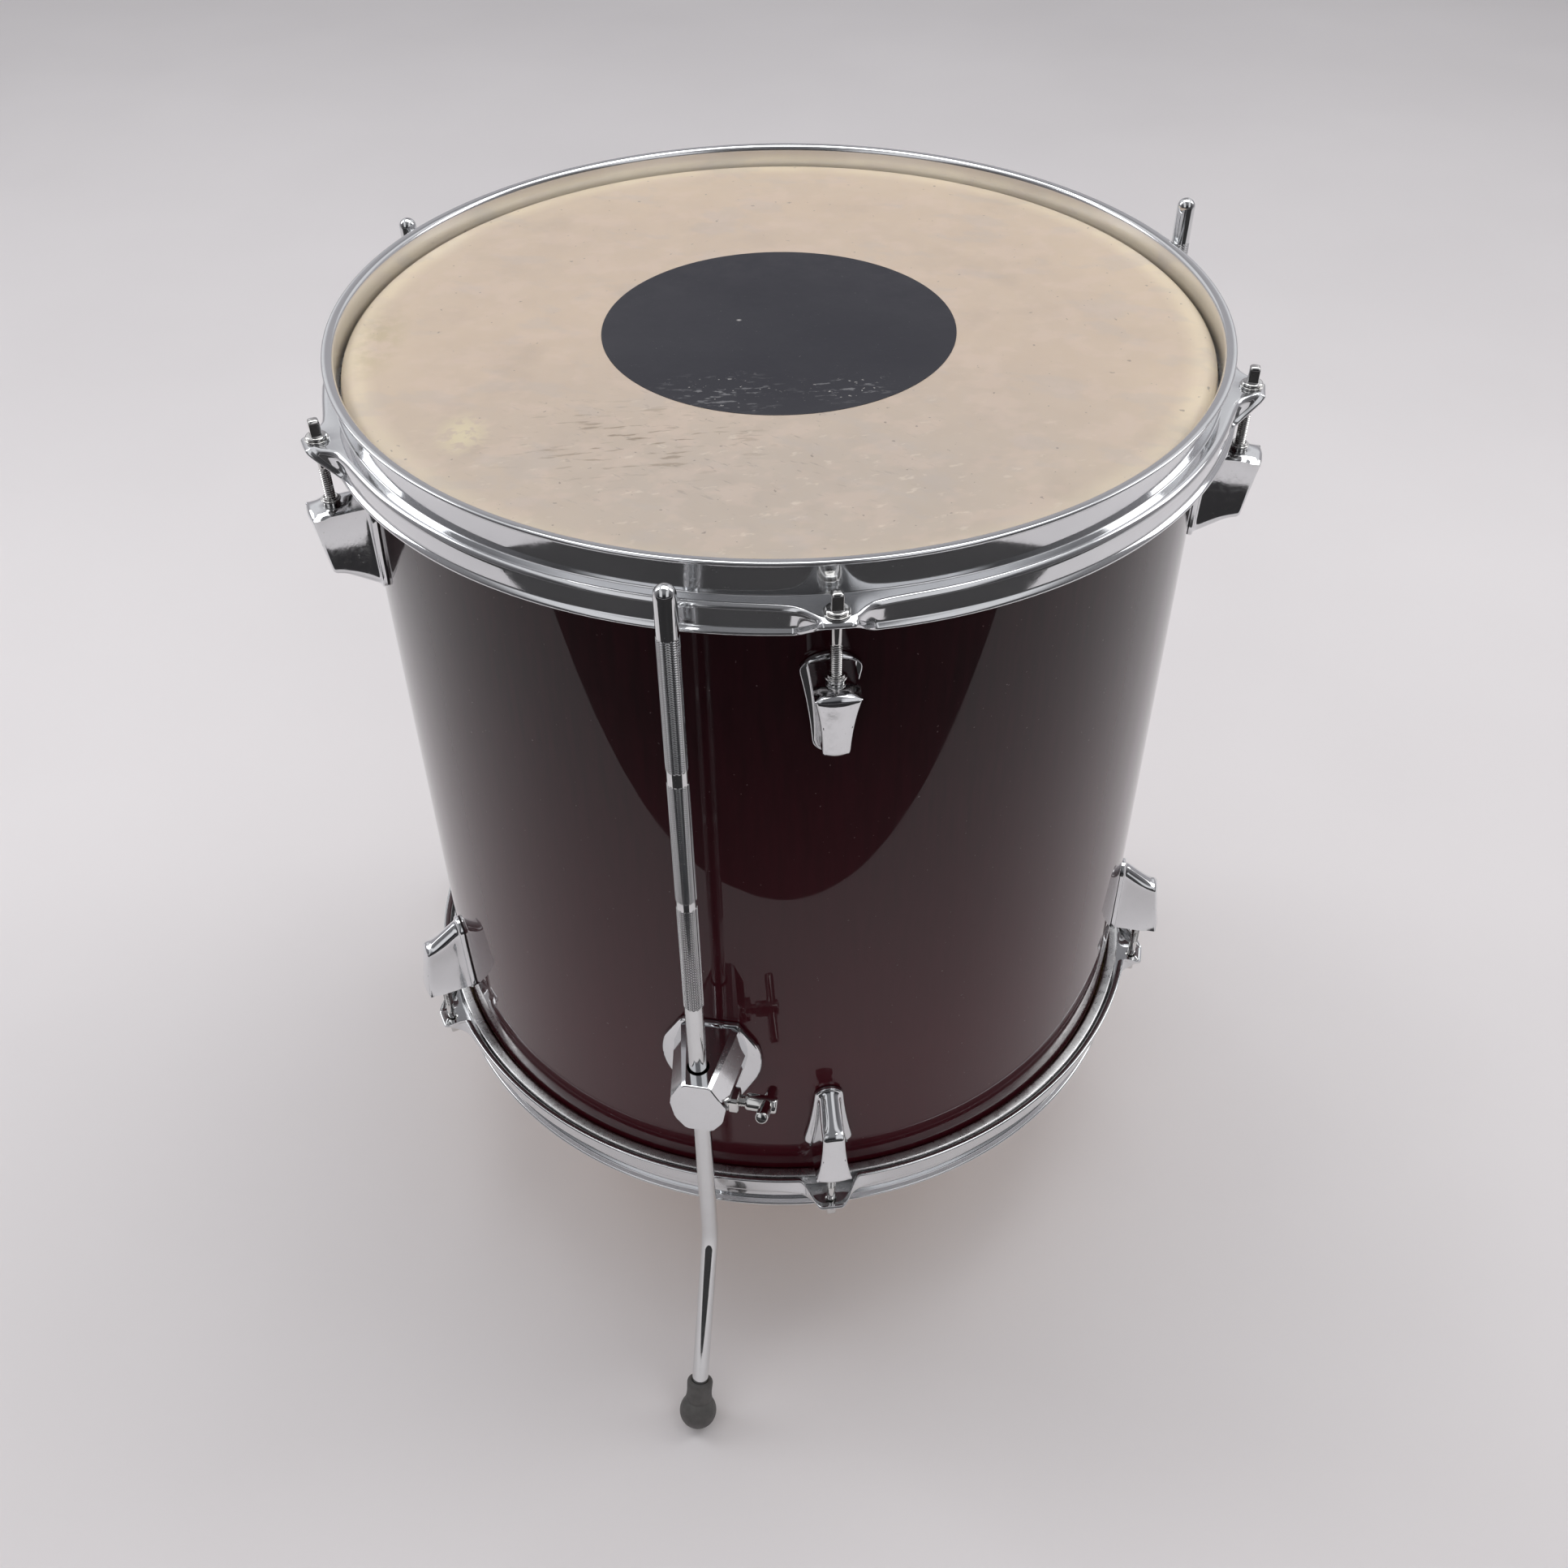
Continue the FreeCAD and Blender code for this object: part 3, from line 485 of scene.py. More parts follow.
CHROME = (0.80, 0.81, 0.825)
HOOP_CHROME = make_chrome("hoop_plating", CHROME, 0.0, 0.94, 0.2055)
CAST_CHROME = make_chrome("cast_plating", CHROME, 0.015)
STEEL = make_chrome("rod_plating", (0.74, 0.735, 0.72), 0.01)
LEG_CHROME = make_chrome("leg_plating", (0.78, 0.79, 0.795), 0.0)
LACQUER = make_lacquer()
FILMS = {"batter": make_film("worn_and_shaded_film", True), "resonant": make_film("plain_film", False)}
DOT_FILM = make_dot_film()
RUBBER = make_plain("foot_rubber_dark", (0.105, 0.100, 0.097), (0.075, 0.072, 0.070), 0.55, 0.0, 1400.0,
                    0.00005)
GASKET = make_plain("gasket_rubber", (0.024, 0.024, 0.026), (0.014, 0.014, 0.016), 0.6, 0.0, 1200.0, 0.00003)
ZINC = make_plain("zinc_plate", (0.62, 0.62, 0.60), (0.48, 0.48, 0.46), 0.34, 1.0, 900.0, 0.00002)
ALUMINIUM = make_plain("flesh_hoop_alloy", (0.74, 0.74, 0.74), (0.62, 0.62, 0.62), 0.30, 1.0, 700.0, 0.00002)


# ---- shell
def revolved(profile, axis_r, count):
    """A closed profile of (radius, drop) points, turned about an upright line in front of the drum's axis."""
    sheet = Sheet()
    sheet.grid([level_ring(at(0, axis_r, drop), radius, count) for radius, drop in profile], closed_col=True)
    return sheet


def make_shell():
    """The lacquered shell; its rounded bearing edges stay clear of the film that curves over them."""
    depth = HEAD_Z - LOW_HEAD_Z
    wall, foot_drop, straight_drop = 7.5, 5.2, 60.0
    crest = [(SHELL_R - 4.2, 1.0), (SHELL_R - 2.0, 2.0), (SHELL_R - 0.6, 3.8), (SHELL_R, 5.6), (SHELL_R, 6.0)]
    upper = [(SHELL_R - wall, foot_drop), *crest, (SHELL_R, straight_drop)]
    lower = [(r, depth - drop) for r, drop in reversed(upper)]
    sheet = revolved([*upper, (SHELL_R, depth / 2), *lower], 0, 360)
    piece = sheet.piece("lacquered_shell", LACQUER, sharp=50.0)
    finish_piece(piece, "drum", ["shell"])


# ---- heads
HUB_R = 0.05  # the pinhole in the middle that closes a disc
FILM_R = 204.1  # the film's collar, where it hangs down into the flesh hoop


def make_heads():
    """Films with a rounded collar, flesh hoops, and the dot on the upper film."""
    collar = rounded([(150.0, 0.0), (200.2, 0.0), (FILM_R, 3.4), (FILM_R, 13.0)], 6.0, 8)
    outside = [(HUB_R, 0.0), (60.0, 0.0), (120.0, 0.0)] + [tuple(point) for point in collar]
    inside = [(max(HUB_R, r - 0.2), drop + 0.35) for r, drop in outside[:-1]] + [(FILM_R - 0.2, 13.0)]
    film = [(min(r + 0.2, FILM_R + 0.18) if drop > 3.0 else r, drop) for r, drop in outside]
    ring = rounded([(205.0, 9.52), (210.3, 9.52), (210.3, 18.0), (204.32, 18.0), (204.32, 9.52),
                    (205.0, 9.52)], 1.2, 4)
    for head in HEADS:
        place = place_of(head, 0)
        sheet = revolved(film + inside[::-1], 0, 256)
        piece = sheet.piece(f"{head}_film_with_collar", FILMS[head], place, 40.0)
        finish_piece(piece, "drum", [f"{head}_head_film"])
        piece = revolved(ring[:-1], 0, 256).piece(f"{head}_flesh_hoop_rounded", ALUMINIUM, place)
        finish_piece(piece, "drum", [f"{head}_flesh_hoop"])
    dot_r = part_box("batter_head_dot")[1].x / MM
    dot_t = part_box("batter_head_dot")[1].z / MM - HEAD_Z
    profile = [(HUB_R, 0.0), (dot_r, 0.0), (dot_r, -dot_t * 0.6), (dot_r - 0.4, -dot_t), (dot_r / 2, -dot_t),
               (HUB_R, -dot_t)]
    piece = revolved(profile, 0, 256).piece("slate_dot", DOT_FILM)
    finish_piece(piece, "drum", ["batter_head_dot"])


# ---- hoops
HOOP_T = 2.0
HOOP_SHARP = 60.0
SEAT_DROP = 8.5
SEAT_R = 212.6  # the seat's outer corner between two ears
EAR_REACH = 9.9  # how much further out that corner is at an ear
EAR_HALF = 12.0  # sideways, where the corner is half way in again
EAR_FLAT = 5.0  # half the ear's width at its full reach
EAR_ROOT = 17.0  # sideways, where the skirt hangs down again


def hoop_line(sideways):
    """The middle of the hoop's sheet as (r, drop) points, at a distance beside the nearest rod."""
    aside = abs(sideways)
    folded = 1 - smooth_step(aside, EAR_FLAT, EAR_ROOT)
    seat = Vector((SEAT_R + EAR_REACH / (1 + (aside / EAR_HALF) ** 3.2), SEAT_DROP))
    edge = Vector((214.4, 19.9)).lerp(Vector((225.2, 9.6)), folded)
    flare = Vector((2.1, 1.35)).lerp(Vector((1.5, 0.6)), folded)
    return rounded([(209.6, -8.2), (206.3, -8.2), (206.3, SEAT_DROP), seat, edge - flare, edge], 1.8, 5)


def sheet_section(line, thickness, round_steps=5):
    """The closed outline round a bent sheet, with round edges."""
    half = thickness / 2
    normals = []
    for i, point in enumerate(line):
        along = line[min(i + 1, len(line) - 1)] - line[max(i - 1, 0)]
        normals.append(Vector((-along.y, along.x)).normalized())
    outline = [point + normal * half for point, normal in zip(line, normals)]
    outline += edge_round(line[-1], normals[-1], half, round_steps)
    outline += [point - normal * half for point, normal in zip(reversed(line), reversed(normals))]
    outline += edge_round(line[0], -normals[0], half, round_steps)
    return outline


def edge_round(end, normal, half, steps):
    """The half circle round a sheet's edge, from one side to the other."""
    points = []
    for step in range(1, steps):
        angle = pi * step / steps
        ahead = Vector((normal.y, -normal.x))
        points.append(end + (normal * cos(angle) + ahead * sin(angle)) * half)
    return points


def hoop_sides():
    """Sideways distances from one rod to the middle between two, close together at the ear."""
    pitch = radians(36.0) * ROD_R
    near = [0.5 * i for i in range(37)]
    rest = [near[-1] + (pitch - near[-1]) * (i + 1) / 34 for i in range(34)]
    return near + rest


def make_hoops():
    """The two triple-flanged hoops."""
    sides = hoop_sides()
    whole = [-side for side in reversed(sides[1:-1])] + sides
    rows = []
    for azimuth in ROD_AZIMUTHS:
        for side in whole:
            angle = radians(azimuth) + side / ROD_R
            rows.append([Vector((p.x * sin(angle), -p.x * cos(angle), HEAD_Z - p.y))
                         for p in sheet_section(hoop_line(side), HOOP_T)])
    for head in HEADS:
        sheet = Sheet()
        sheet.grid(rows, closed_col=True)
        piece = sheet.piece(f"{head}_hoop_rolled", HOOP_CHROME, place_of(head, 0), HOOP_SHARP)
        places = [place_of(head, azimuth) for azimuth in ROD_AZIMUTHS]
        drill(piece, places, 3.2, at(0, ROD_R, 16.0), at(0, ROD_R, 2.0), HOOP_SHARP, False)
        finish_piece(piece, f"{head}_hoop", [f"{head}_hoop"])


def drill(piece, places, radius, start, end, sharp, crossing=True):
    """Cuts round holes, given at the front, in a finished piece whose solids may cross each other."""
    tool = Sheet()
    for place in places:
        tool.tube([[place @ point for point in level_ring(centre, radius, 40)] for centre in (start, end)])
    cut_away(piece, tool.piece("cutter", piece.data.materials[0]), sharp, crossing)


def cut_away(piece, cutter, sharp, crossing=True):
    """Takes the cutter's shape out of a piece, creases its edges again and deletes the cutter."""
    modifier = piece.modifiers.new("cut", "BOOLEAN")
    modifier.operation = "DIFFERENCE"
    modifier.solver = "EXACT"
    modifier.use_self = crossing
    modifier.object = cutter
    bpy.context.view_layer.update()
    evaluated = piece.evaluated_get(bpy.context.evaluated_depsgraph_get())
    mesh = bpy.data.meshes.new_from_object(evaluated)
    finish_mesh(mesh, sharp)
    old = piece.data
    piece.modifiers.clear()
    piece.data = mesh
    bpy.data.meshes.remove(old)
    bpy.data.objects.remove(cutter)


# ---- rods, washers and nuts
def lathe(sheet, profile, centre, axis, count=32):
    """Adds a closed turned solid; the profile is (distance along the axis, radius) points."""
    axis, across, up = frame_of(axis)
    sheet.tube([circle(centre + axis * along, radius, across, up, count) for along, radius in profile])


def add_thread(sheet, centre, axis, start, end, crest, pitch, per_turn=20):
    """Adds a helical ridge round a core of the root's radius."""
    root = crest - 0.36 * pitch
    lathe(sheet, [(start - 0.4, root), (start, root), (end, root), (end + 0.3, root * 0.8)], centre, axis, 24)
    axis, across, up = frame_of(axis)
    ridge = ((-0.44, 0.0), (-0.07, 1.0), (0.07, 1.0), (0.44, 0.0))  # (share of the pitch, is crest)
    steps = int(((end - start) / pitch - 1.0) * per_turn)
    rows = []
    for i in range(steps + 1):
        angle = 2 * pi * i / per_turn
        along = start + pitch / 2 + pitch * i / per_turn
        fade = min(1.0, i / per_turn, (steps - i) / per_turn)
        outer = root + (crest - root) * max(0.08, fade)
        out = across * cos(angle) + up * sin(angle)
        rows.append([centre + axis * (along + shift * pitch) + out * (outer if is_crest else root - 0.15)
                     for shift, is_crest in ridge])
    sheet.tube(rows)


def square_ring(half, corner, centre, across, up, steps=4):
    """A square of points with round corners."""
    points = []
    for quarter in range(4):
        for step in range(steps + 1):
            angle = pi / 2 * (quarter + step / steps)
            sign_x = 1 if quarter in (0, 3) else -1
            sign_y = 1 if quarter in (0, 1) else -1
            points.append(centre + across * (sign_x * (half - corner) + corner * cos(angle))
                          + up * (sign_y * (half - corner) + corner * sin(angle)))
    return points


def make_rods():
    """Square-headed rods, their washers and the swivel nuts' collars."""
    axis_point = at(0, ROD_R, 0)
    rod = Sheet()
    square = [(-2.4, 0.9, 0.5), (-2.35, 1.55, 0.7), (-1.9, 2.1, 0.75), (-1.2, 2.36, 0.6), (-0.4, 2.4, 0.5),
              (4.3, 2.4, 0.5), (4.8, 2.5, 0.6), (5.2, 2.9, 1.0)]
    rod.tube([square_ring(half, corner, at(0, ROD_R, drop), ACROSS, -BACK) for drop, half, corner in square])
    lathe(rod, [(4.9, 3.0), (5.0, 3.9), (5.15, 4.4), (5.45, 4.7), (6.0, 4.75), (6.3, 4.65), (6.48, 4.3)],
          axis_point, DOWN, 40)
    lathe(rod, [(6.4, 2.6), (6.9, 2.2), (20.6, 2.2), (21.2, 2.05)], axis_point, DOWN)
    add_thread(rod, axis_point, DOWN, 20.8, 71.6, 2.4, 1.0583)
    plate = rounded([(2.6, 6.95), (2.6, 6.52), (5.5, 6.52), (5.5, 7.48), (2.6, 7.48), (2.6, 6.95)], 0.3, 3)
    collar = rounded([(2.45, 39.0), (2.45, 35.9), (3.6, 35.9), (3.6, 36.8), (4.5, 36.8), (4.5, 37.8),
                      (3.75, 37.8), (3.75, 57.0), (2.45, 57.0), (2.45, 39.0)], 0.35, 4)
    washer, nut = revolved(plate[:-1], ROD_R, 40), revolved(collar[:-1], ROD_R, 40)
    for head in HEADS:
        washers, nuts = Sheet(), Sheet()
        for i, azimuth in enumerate(ROD_AZIMUTHS, 1):
            place = place_of(head, azimuth)
            piece = rod.piece(f"{head}_rod_threaded_{i}", STEEL, place)
            finish_piece(piece, f"{head}_rod_{i}", [f"{head}_tension_rod_{i}"])
            copy_into(washers, washer, place)
            copy_into(nuts, nut, place)
        piece = washers.piece(f"{head}_washers_rounded", STEEL)
        finish_piece(piece, f"{head}_hoop", [f"{head}_rod_washers"])
        piece = nuts.piece(f"{head}_nut_collars", STEEL)
        finish_piece(piece, "drum", [f"{head}_swivel_nuts"])


def copy_into(target, source, place):
    """Adds a placed copy of one sheet's points and faces to another."""
    start = len(target.points)
    target.points += [place @ point for point in source.points]
    target.faces += [tuple(start + index for index in face) for face in source.faces]


# ---- outlines for castings
def spread(points, count):
    """Points evenly spread along a polyline, both ends included."""
    lengths = [0.0]
    for a, b in zip(points, points[1:]):
        lengths.append(lengths[-1] + (Vector(b) - Vector(a)).length)
    result = []
    for i in range(count):
        want = lengths[-1] * i / (count - 1)
        k = max(j for j in range(len(lengths) - 1) if lengths[j] <= want + 1e-9)
        share = (want - lengths[k]) / (lengths[k + 1] - lengths[k])
        result.append(Vector(points[k]).lerp(Vector(points[k + 1]), share))
    return result


def loop_of(top, flank, bottom, count=20):
    """A closed outline from its top, right flank and bottom runs, with the left flank mirrored."""
    right = spread(flank, count)
    left = [Vector((-p.x, p.y)) for p in reversed(right)]
    return spread(top, count)[:-1] + right[:-1] + spread(bottom, count)[:-1] + left[:-1]


def softened(loop, passes):
    """Rounds a closed outline's corners by averaging neighbours."""
    for _ in range(passes):
        loop = [(loop[i - 1] + loop[i] * 2 + loop[(i + 1) % len(loop)]) / 4 for i in range(len(loop))]
    return loop


def inset(loop, distance):
    """Moves a closed outline inwards."""
    area = sum(loop[i - 1].x * loop[i].y - loop[i].x * loop[i - 1].y for i in range(len(loop)))
    sign = 1 if area > 0 else -1
    result = []
    for i, point in enumerate(loop):
        along = (loop[(i + 1) % len(loop)] - loop[i - 1]).normalized()
        result.append(point + Vector((-along.y, along.x)) * (sign * distance))
    return result


def on_shell(point, r):
    """A point (u, drop) of an outline at a true distance from the drum's axis."""
    return at(point.x, sqrt(r * r - point.x * point.x), point.y)


def arc_points(a, b, c, count=24):
    """Points on the circular arc through three points."""
    ax, ay, bx, by, cx, cy = *a, *b, *c
    d = 2 * (ax * (by - cy) + bx * (cy - ay) + cx * (ay - by))
    sa, sb, sc = ax * ax + ay * ay, bx * bx + by * by, cx * cx + cy * cy
    x = (sa * (by - cy) + sb * (cy - ay) + sc * (ay - by)) / d
    y = (sa * (cx - bx) + sb * (ax - cx) + sc * (bx - ax)) / d
    first = atan2(ay - y, ax - x)
    through = (atan2(by - y, bx - x) - first) % (2 * pi)
    last = (atan2(cy - y, cx - x) - first) % (2 * pi)
    if through > last:
        last -= 2 * pi
    radius = hypot(ax - x, ay - y)
    angles = [first + last * i / (count - 1) for i in range(count)]
    return [(x + radius * cos(angle), y + radius * sin(angle)) for angle in angles]


def coons(sheet, sides, surface):
    """Fills an outline of four runs of points (top, right, bottom, left) with a grid."""
    top, right, bottom, left = sides
    bottom, left = bottom[::-1], left[::-1]
    last = len(top) - 1
    rows = []
    for i in range(last + 1):
        v = i / last
        row = []
        for j in range(last + 1):
            u = j / last
            edges = top[j] * (1 - v) + bottom[j] * v + left[i] * (1 - u) + right[i] * u
            upper = top[0] * (1 - u) + top[last] * u
            lower = bottom[0] * (1 - u) + bottom[last] * u
            row.append(surface(edges - (upper * (1 - v) + lower * v)))
        rows.append(row)
    sheet.grid(rows, closed_row=False)


def quarters(loop):
    """The four sides of an outline that loop_of made, with shared corners."""
    count = len(loop) // 4
    closed = loop + loop[:1]
    return [closed[i * count:(i + 1) * count + 1] for i in range(4)]


def add_pad(sheet, loop, r_low, r_high, edge):
    """Adds a plate with a round rim that wraps the shell between two radii."""
    middle = sum(loop, Vector((0, 0))) / len(loop)
    rows = [[on_shell(middle + (point - middle) * share, r_low) for point in loop]
            for share in (0.25, 0.6, 0.9, 1.0)]
    for step in range(5):
        angle = pi / 2 * step / 4
        rim = inset(loop, edge * (1 - cos(angle)))
        rows.append([on_shell(point, r_high - edge + edge * sin(angle)) for point in rim])
    rim = inset(loop, edge)
    for share in (0.1, 0.4, 0.75):
        rows.append([on_shell(point.lerp(middle, share), r_high) for point in rim])
    sheet.tube(rows)


# ---- lugs
LUG_TOP = 41.0
LUG_TOE_DROP = 74.0  # the nose's bottom at its face
LUG_ROOT_DROP = 86.0  # and at the shell
LUG_FACE_R = 231.6
LUG_SHARP = 34.0
PAD_R = 203.85  # where a base plate rests on its gasket
FLANK_BEVEL, TOP_BEVEL, TOE_BEVEL = 0.9, 2.8, 3.0
TOP_SWELL = 1.8  # how far the top rises round the nut


def nose_half_width(share):
    """Half the lug's nose across, from its top (0) to its bottom (1)."""
    return 5.7 + 3.6 * (1 - share) ** 2.0


NOSE_HALF = nose_half_width(0.0)


def nose_loop(bottom_drop, sag):
    """The nose's outline: flat top, waisted flanks and a rounded bottom."""
    toe_drop = bottom_drop - sag
    flank = [(nose_half_width(i / 24), LUG_TOP + (toe_drop - LUG_TOP) * i / 24) for i in range(25)]
    top = [(-flank[0][0], LUG_TOP), flank[0]]
    toe = flank[-1][0]
    sharp = loop_of(top, flank, arc_points((toe, toe_drop), (0, bottom_drop), (-toe, toe_drop)), 22)
    return [eased if eased.y > LUG_TOP + 15.0 else point for point, eased in zip(sharp, softened(sharp, 4))]


def nose_section(share):
    """The outline at a share of the way out: a half round toe that gets shorter and flatter."""
    return nose_loop(LUG_ROOT_DROP + (LUG_TOE_DROP + 0.6 - LUG_ROOT_DROP) * share, 5.2 - 3.8 * share ** 2.5)


def face_radius(point):
    """How far out the nose's face is at a point: it leans in towards its bottom and arches sideways."""
    down = max(0.0, point.y - LUG_TOP) / (LUG_TOE_DROP - LUG_TOP)
    return LUG_FACE_R - 5.4 * down ** 0.92 - 1.6 * (point.x / NOSE_HALF) ** 2


def domed(point, r):
    """Where the nose's skin is: its top swells up round the nut and slopes down to the crown."""
    aside = abs(point.x) / NOSE_HALF
    lift = TOP_SWELL * (1 - smooth_step(r, 225.0, 235.0)) * (1 - min(1.0, aside) ** 3)
    lower = 0.9 * aside * smooth_step(r, 222.5, 226.0)
    fade = 1 - smooth_step(point.y, LUG_TOP, LUG_TOP + 12.0)
    return at(point.x, r, point.y + (lower - lift) * fade)


def face_edges(face):
    """For each point of the face's outline, the way in over its round edge."""
    reaches = []
    for point, shrunk in zip(face, inset(face, 1.0)):
        inward = shrunk - point
        aside = abs(point.x) / NOSE_HALF
        end = TOP_BEVEL * (1 - 0.6 * aside ** 2) if point.y < (LUG_TOP + LUG_TOE_DROP) / 2 else TOE_BEVEL
        reaches.append(Vector((inward.x * FLANK_BEVEL, inward.y * end)))
    return reaches


def make_lug():
    """One lug: an arched base plate and a waisted nose with a half round toe."""
    sheet = Sheet()
    shoulder, waist, toe = (13.0, 44.5), (9.4, 64.0), (7.4, 83.0)
    plate = loop_of(arc_points((-13.0, 44.5), (0, 37.0), shoulder), arc_points(shoulder, waist, toe),
                    arc_points(toe, (0, 88.0), (-7.4, 83.0)), 24)
    add_pad(sheet, softened(plate, 2), PAD_R, 206.0, 0.8)
    flare = ((205.0, 1.1), (205.9, 1.1), (206.1, 0.7), (206.5, 0.35), (207.2, 0.1), (208.2, 0.0))
    rows = [[domed(point, r) for point in inset(nose_section(max(0.0, r - 206.0) / 25.0), -out)]
            for r, out in flare]
    face = nose_section(1.0)
    reaches = face_edges(face)
    inner = flare[-1][0]
    for step in range(1, 13):
        share = step / 12
        rows.append([domed(point, inner + (face_radius(end) - reach.length - inner) * share)
                     for point, end, reach in zip(nose_section(0.088 + 0.912 * share), face, reaches)])
    for step in range(1, 6):
        angle = pi / 2 * step / 5
        risen, inward = sin(angle), 1 - cos(angle)
        bevelled = [point + reach * inward for point, reach in zip(face, reaches)]
        row = []
        for point, moved, reach in zip(face, bevelled, reaches):
            low_r, high_r = face_radius(point) - reach.length, face_radius(moved)
            row.append(domed(moved, low_r * (1 - risen) + high_r * risen))
        rows.append(row)
    start = sheet.grid(rows)
    sheet.cap(start, len(rows[0]), True)
    coons(sheet, quarters(bevelled), lambda point: domed(point, face_radius(point)))
    return sheet


def make_lugs():
    """All ten lugs."""
    first = make_lug().piece("lug_pattern", CAST_CHROME, sharp=LUG_SHARP)
    drill(first, [Matrix()], 3.85, at(0, ROD_R, LUG_TOP - 2.5 * TOP_SWELL), at(0, ROD_R, 58.0), LUG_SHARP)
    drill(first, [Matrix()], 2.8, at(0, ROD_R, 57.0), at(0, ROD_R, 73.0), LUG_SHARP)
    for head in HEADS:
        for i, azimuth in enumerate(ROD_AZIMUTHS, 1):
            piece = copy_of(first, f"{head}_lug_cast_{i}", place_of(head, azimuth))
            finish_piece(piece, "drum", [f"{head}_lug_{i}"])
    bpy.data.objects.remove(first)


def copy_of(pattern, name, place):
    """A placed copy of a finished piece, still facing outwards where the place is a mirror."""
    mesh = pattern.data.copy()
    in_metres = place.copy()
    in_metres.translation *= MM
    mesh.transform(in_metres)
    if place.determinant() < 0:
        mesh.flip_normals()
    mesh.name = name
    return new_object(name, mesh)


# ---- leg brackets and wing bolts
BOSS_END = 15.0  # how far the boss reaches to the right of the leg
BRACKET_R = 242.4  # where the bracket's face begins to round off
BRACKET_SHARP = 12.0
AXLE = at(0, LEG_R, BOLT_DROP)


def octagon(right, drops, shift, bevel):
    """Eight corners about u = shift, each cut off by a small bevel: pairs of points in order."""
    corners = [Vector((u + shift, drop)) for u, drop in zip(right, drops)]
    corners += [Vector((shift - u, drop)) for u, drop in reversed(list(zip(right, drops)))]
    points = []
    for i, corner in enumerate(corners):
        back = (corners[i - 1] - corner).normalized()
        ahead = (corners[(i + 1) % len(corners)] - corner).normalized()
        points += [corner + back * bevel, corner + ahead * bevel]
    return points


def make_bracket():
    """One leg bracket: a faceted block on a six-sided base, with a boss for the wing bolt."""
    sheet = Sheet()
    flank = [(14.5, 267.0), (24.2, 284.0), (25.4, 289.5), (25.8, 295.0), (25.2, 300.5), (23.8, 306.0),
             (13.5, 326.0)]
    plate = loop_of([(-14.5, 267.0), flank[0]], flank, [flank[-1], (-13.5, 326.0)], 40)
    add_pad(sheet, softened(plate, 3), PAD_R, 206.3, 1.1)
    rear = octagon((14.0, 19.5, 16.6, 10.5), (268.5, 287.0, 301.0, 313.0), 0.0, 2.4)
    front = octagon((6.7, 14.1, 12.0, 6.6), (269.5, 284.0, 296.0, 304.0), 1.6, 1.3)
    rear_r = 204.9
    rows = []
    for share in (step / 12 for step in range(13)):
        r = rear_r + (BRACKET_R - rear_r) * share
        rows.append([at(p.x, r, p.y) for p in (a.lerp(b, share) for a, b in zip(rear, front))])
    for angle in (pi / 2 * step / 3 for step in (1, 2, 3)):
        rim = inset(front, 0.6 * (1 - cos(angle)))
        rows.append([at(p.x, BRACKET_R + 0.6 * sin(angle), p.y) for p in rim])
    sheet.tube(rows)
    lathe(sheet, [(2.0, 6.2), (14.0, 6.2), (14.5, 6.05), (14.85, 5.7), (BOSS_END, 5.2)], AXLE, ACROSS, 48)
    return sheet


def make_brackets():
    """The three brackets, drilled for their legs, and the square nuts in the pockets beside their bosses."""
    def block(sections):
        sheet = Sheet()
        sheet.tube([square_ring(half, corner, AXLE + ACROSS * (BOSS_END + u), BACK, UP)
                    for u, half, corner in sections])
        return sheet

    nut = block(((0.02, 4.4, 1.6), (0.5, 4.95, 1.8), (4.3, 4.95, 1.8), (4.9, 4.2, 1.8)))
    nuts = Sheet()
    first = make_bracket().piece("bracket_pattern", CAST_CHROME, sharp=BRACKET_SHARP)
    pocket = block(((0.0, 5.3, 0.4), (9.0, 5.3, 0.4)))
    cut_away(first, pocket.piece("cutter", CAST_CHROME), BRACKET_SHARP)
    for radius, bottom in ((4.75, 331.0), (5.5, 288.0)):
        drill(first, [Matrix()], radius, at(0, LEG_R, 262.0), at(0, LEG_R, bottom), BRACKET_SHARP)
    for i, azimuth in LEG_PLACES:
        place = turned(azimuth)
        piece = copy_of(first, f"leg_bracket_cast_{i}", place)
        finish_piece(piece, "drum", [f"leg_bracket_{i}"])
        copy_into(nuts, nut, place)
    bpy.data.objects.remove(first)
    finish_piece(nuts.piece("clamp_nuts_bevelled", STEEL), "drum", ["clamp_nuts"])


def make_wing_bolts():
    """Clamp bolts: a threaded screw, a stepped hub and a round bar across it."""
    tilt = radians(31.0)
    along = UP * sin(tilt) - BACK * cos(tilt)
    sheet = Sheet()
    lathe(sheet, [(4.75, 1.8), (5.4, 2.55), (22.9, 2.55)], AXLE, ACROSS)
    add_thread(sheet, AXLE, ACROSS, 5.2, 22.9, 3.05, 1.0, 24)
    lathe(sheet, [(22.8, 2.6), (23.0, 3.5), (23.4, 3.9), (24.2, 4.2), (37.1, 4.2), (37.9, 3.95), (38.35, 3.5),
                  (38.5, 2.9)], AXLE, ACROSS, 48)
    bar = [(-18.0, 2.1), (-17.7, 2.6), (-17.1, 3.0), (-16.3, 3.2)]
    bar += [(-distance, r) for distance, r in reversed(bar)]
    lathe(sheet, bar, AXLE + ACROSS * 33.5, along, 40)
    for i, azimuth in LEG_PLACES:
        piece = sheet.piece(f"wing_bolt_threaded_{i}", STEEL, turned(azimuth))
        finish_piece(piece, f"wing_bolt_{i}", [f"wing_bolt_{i}"])


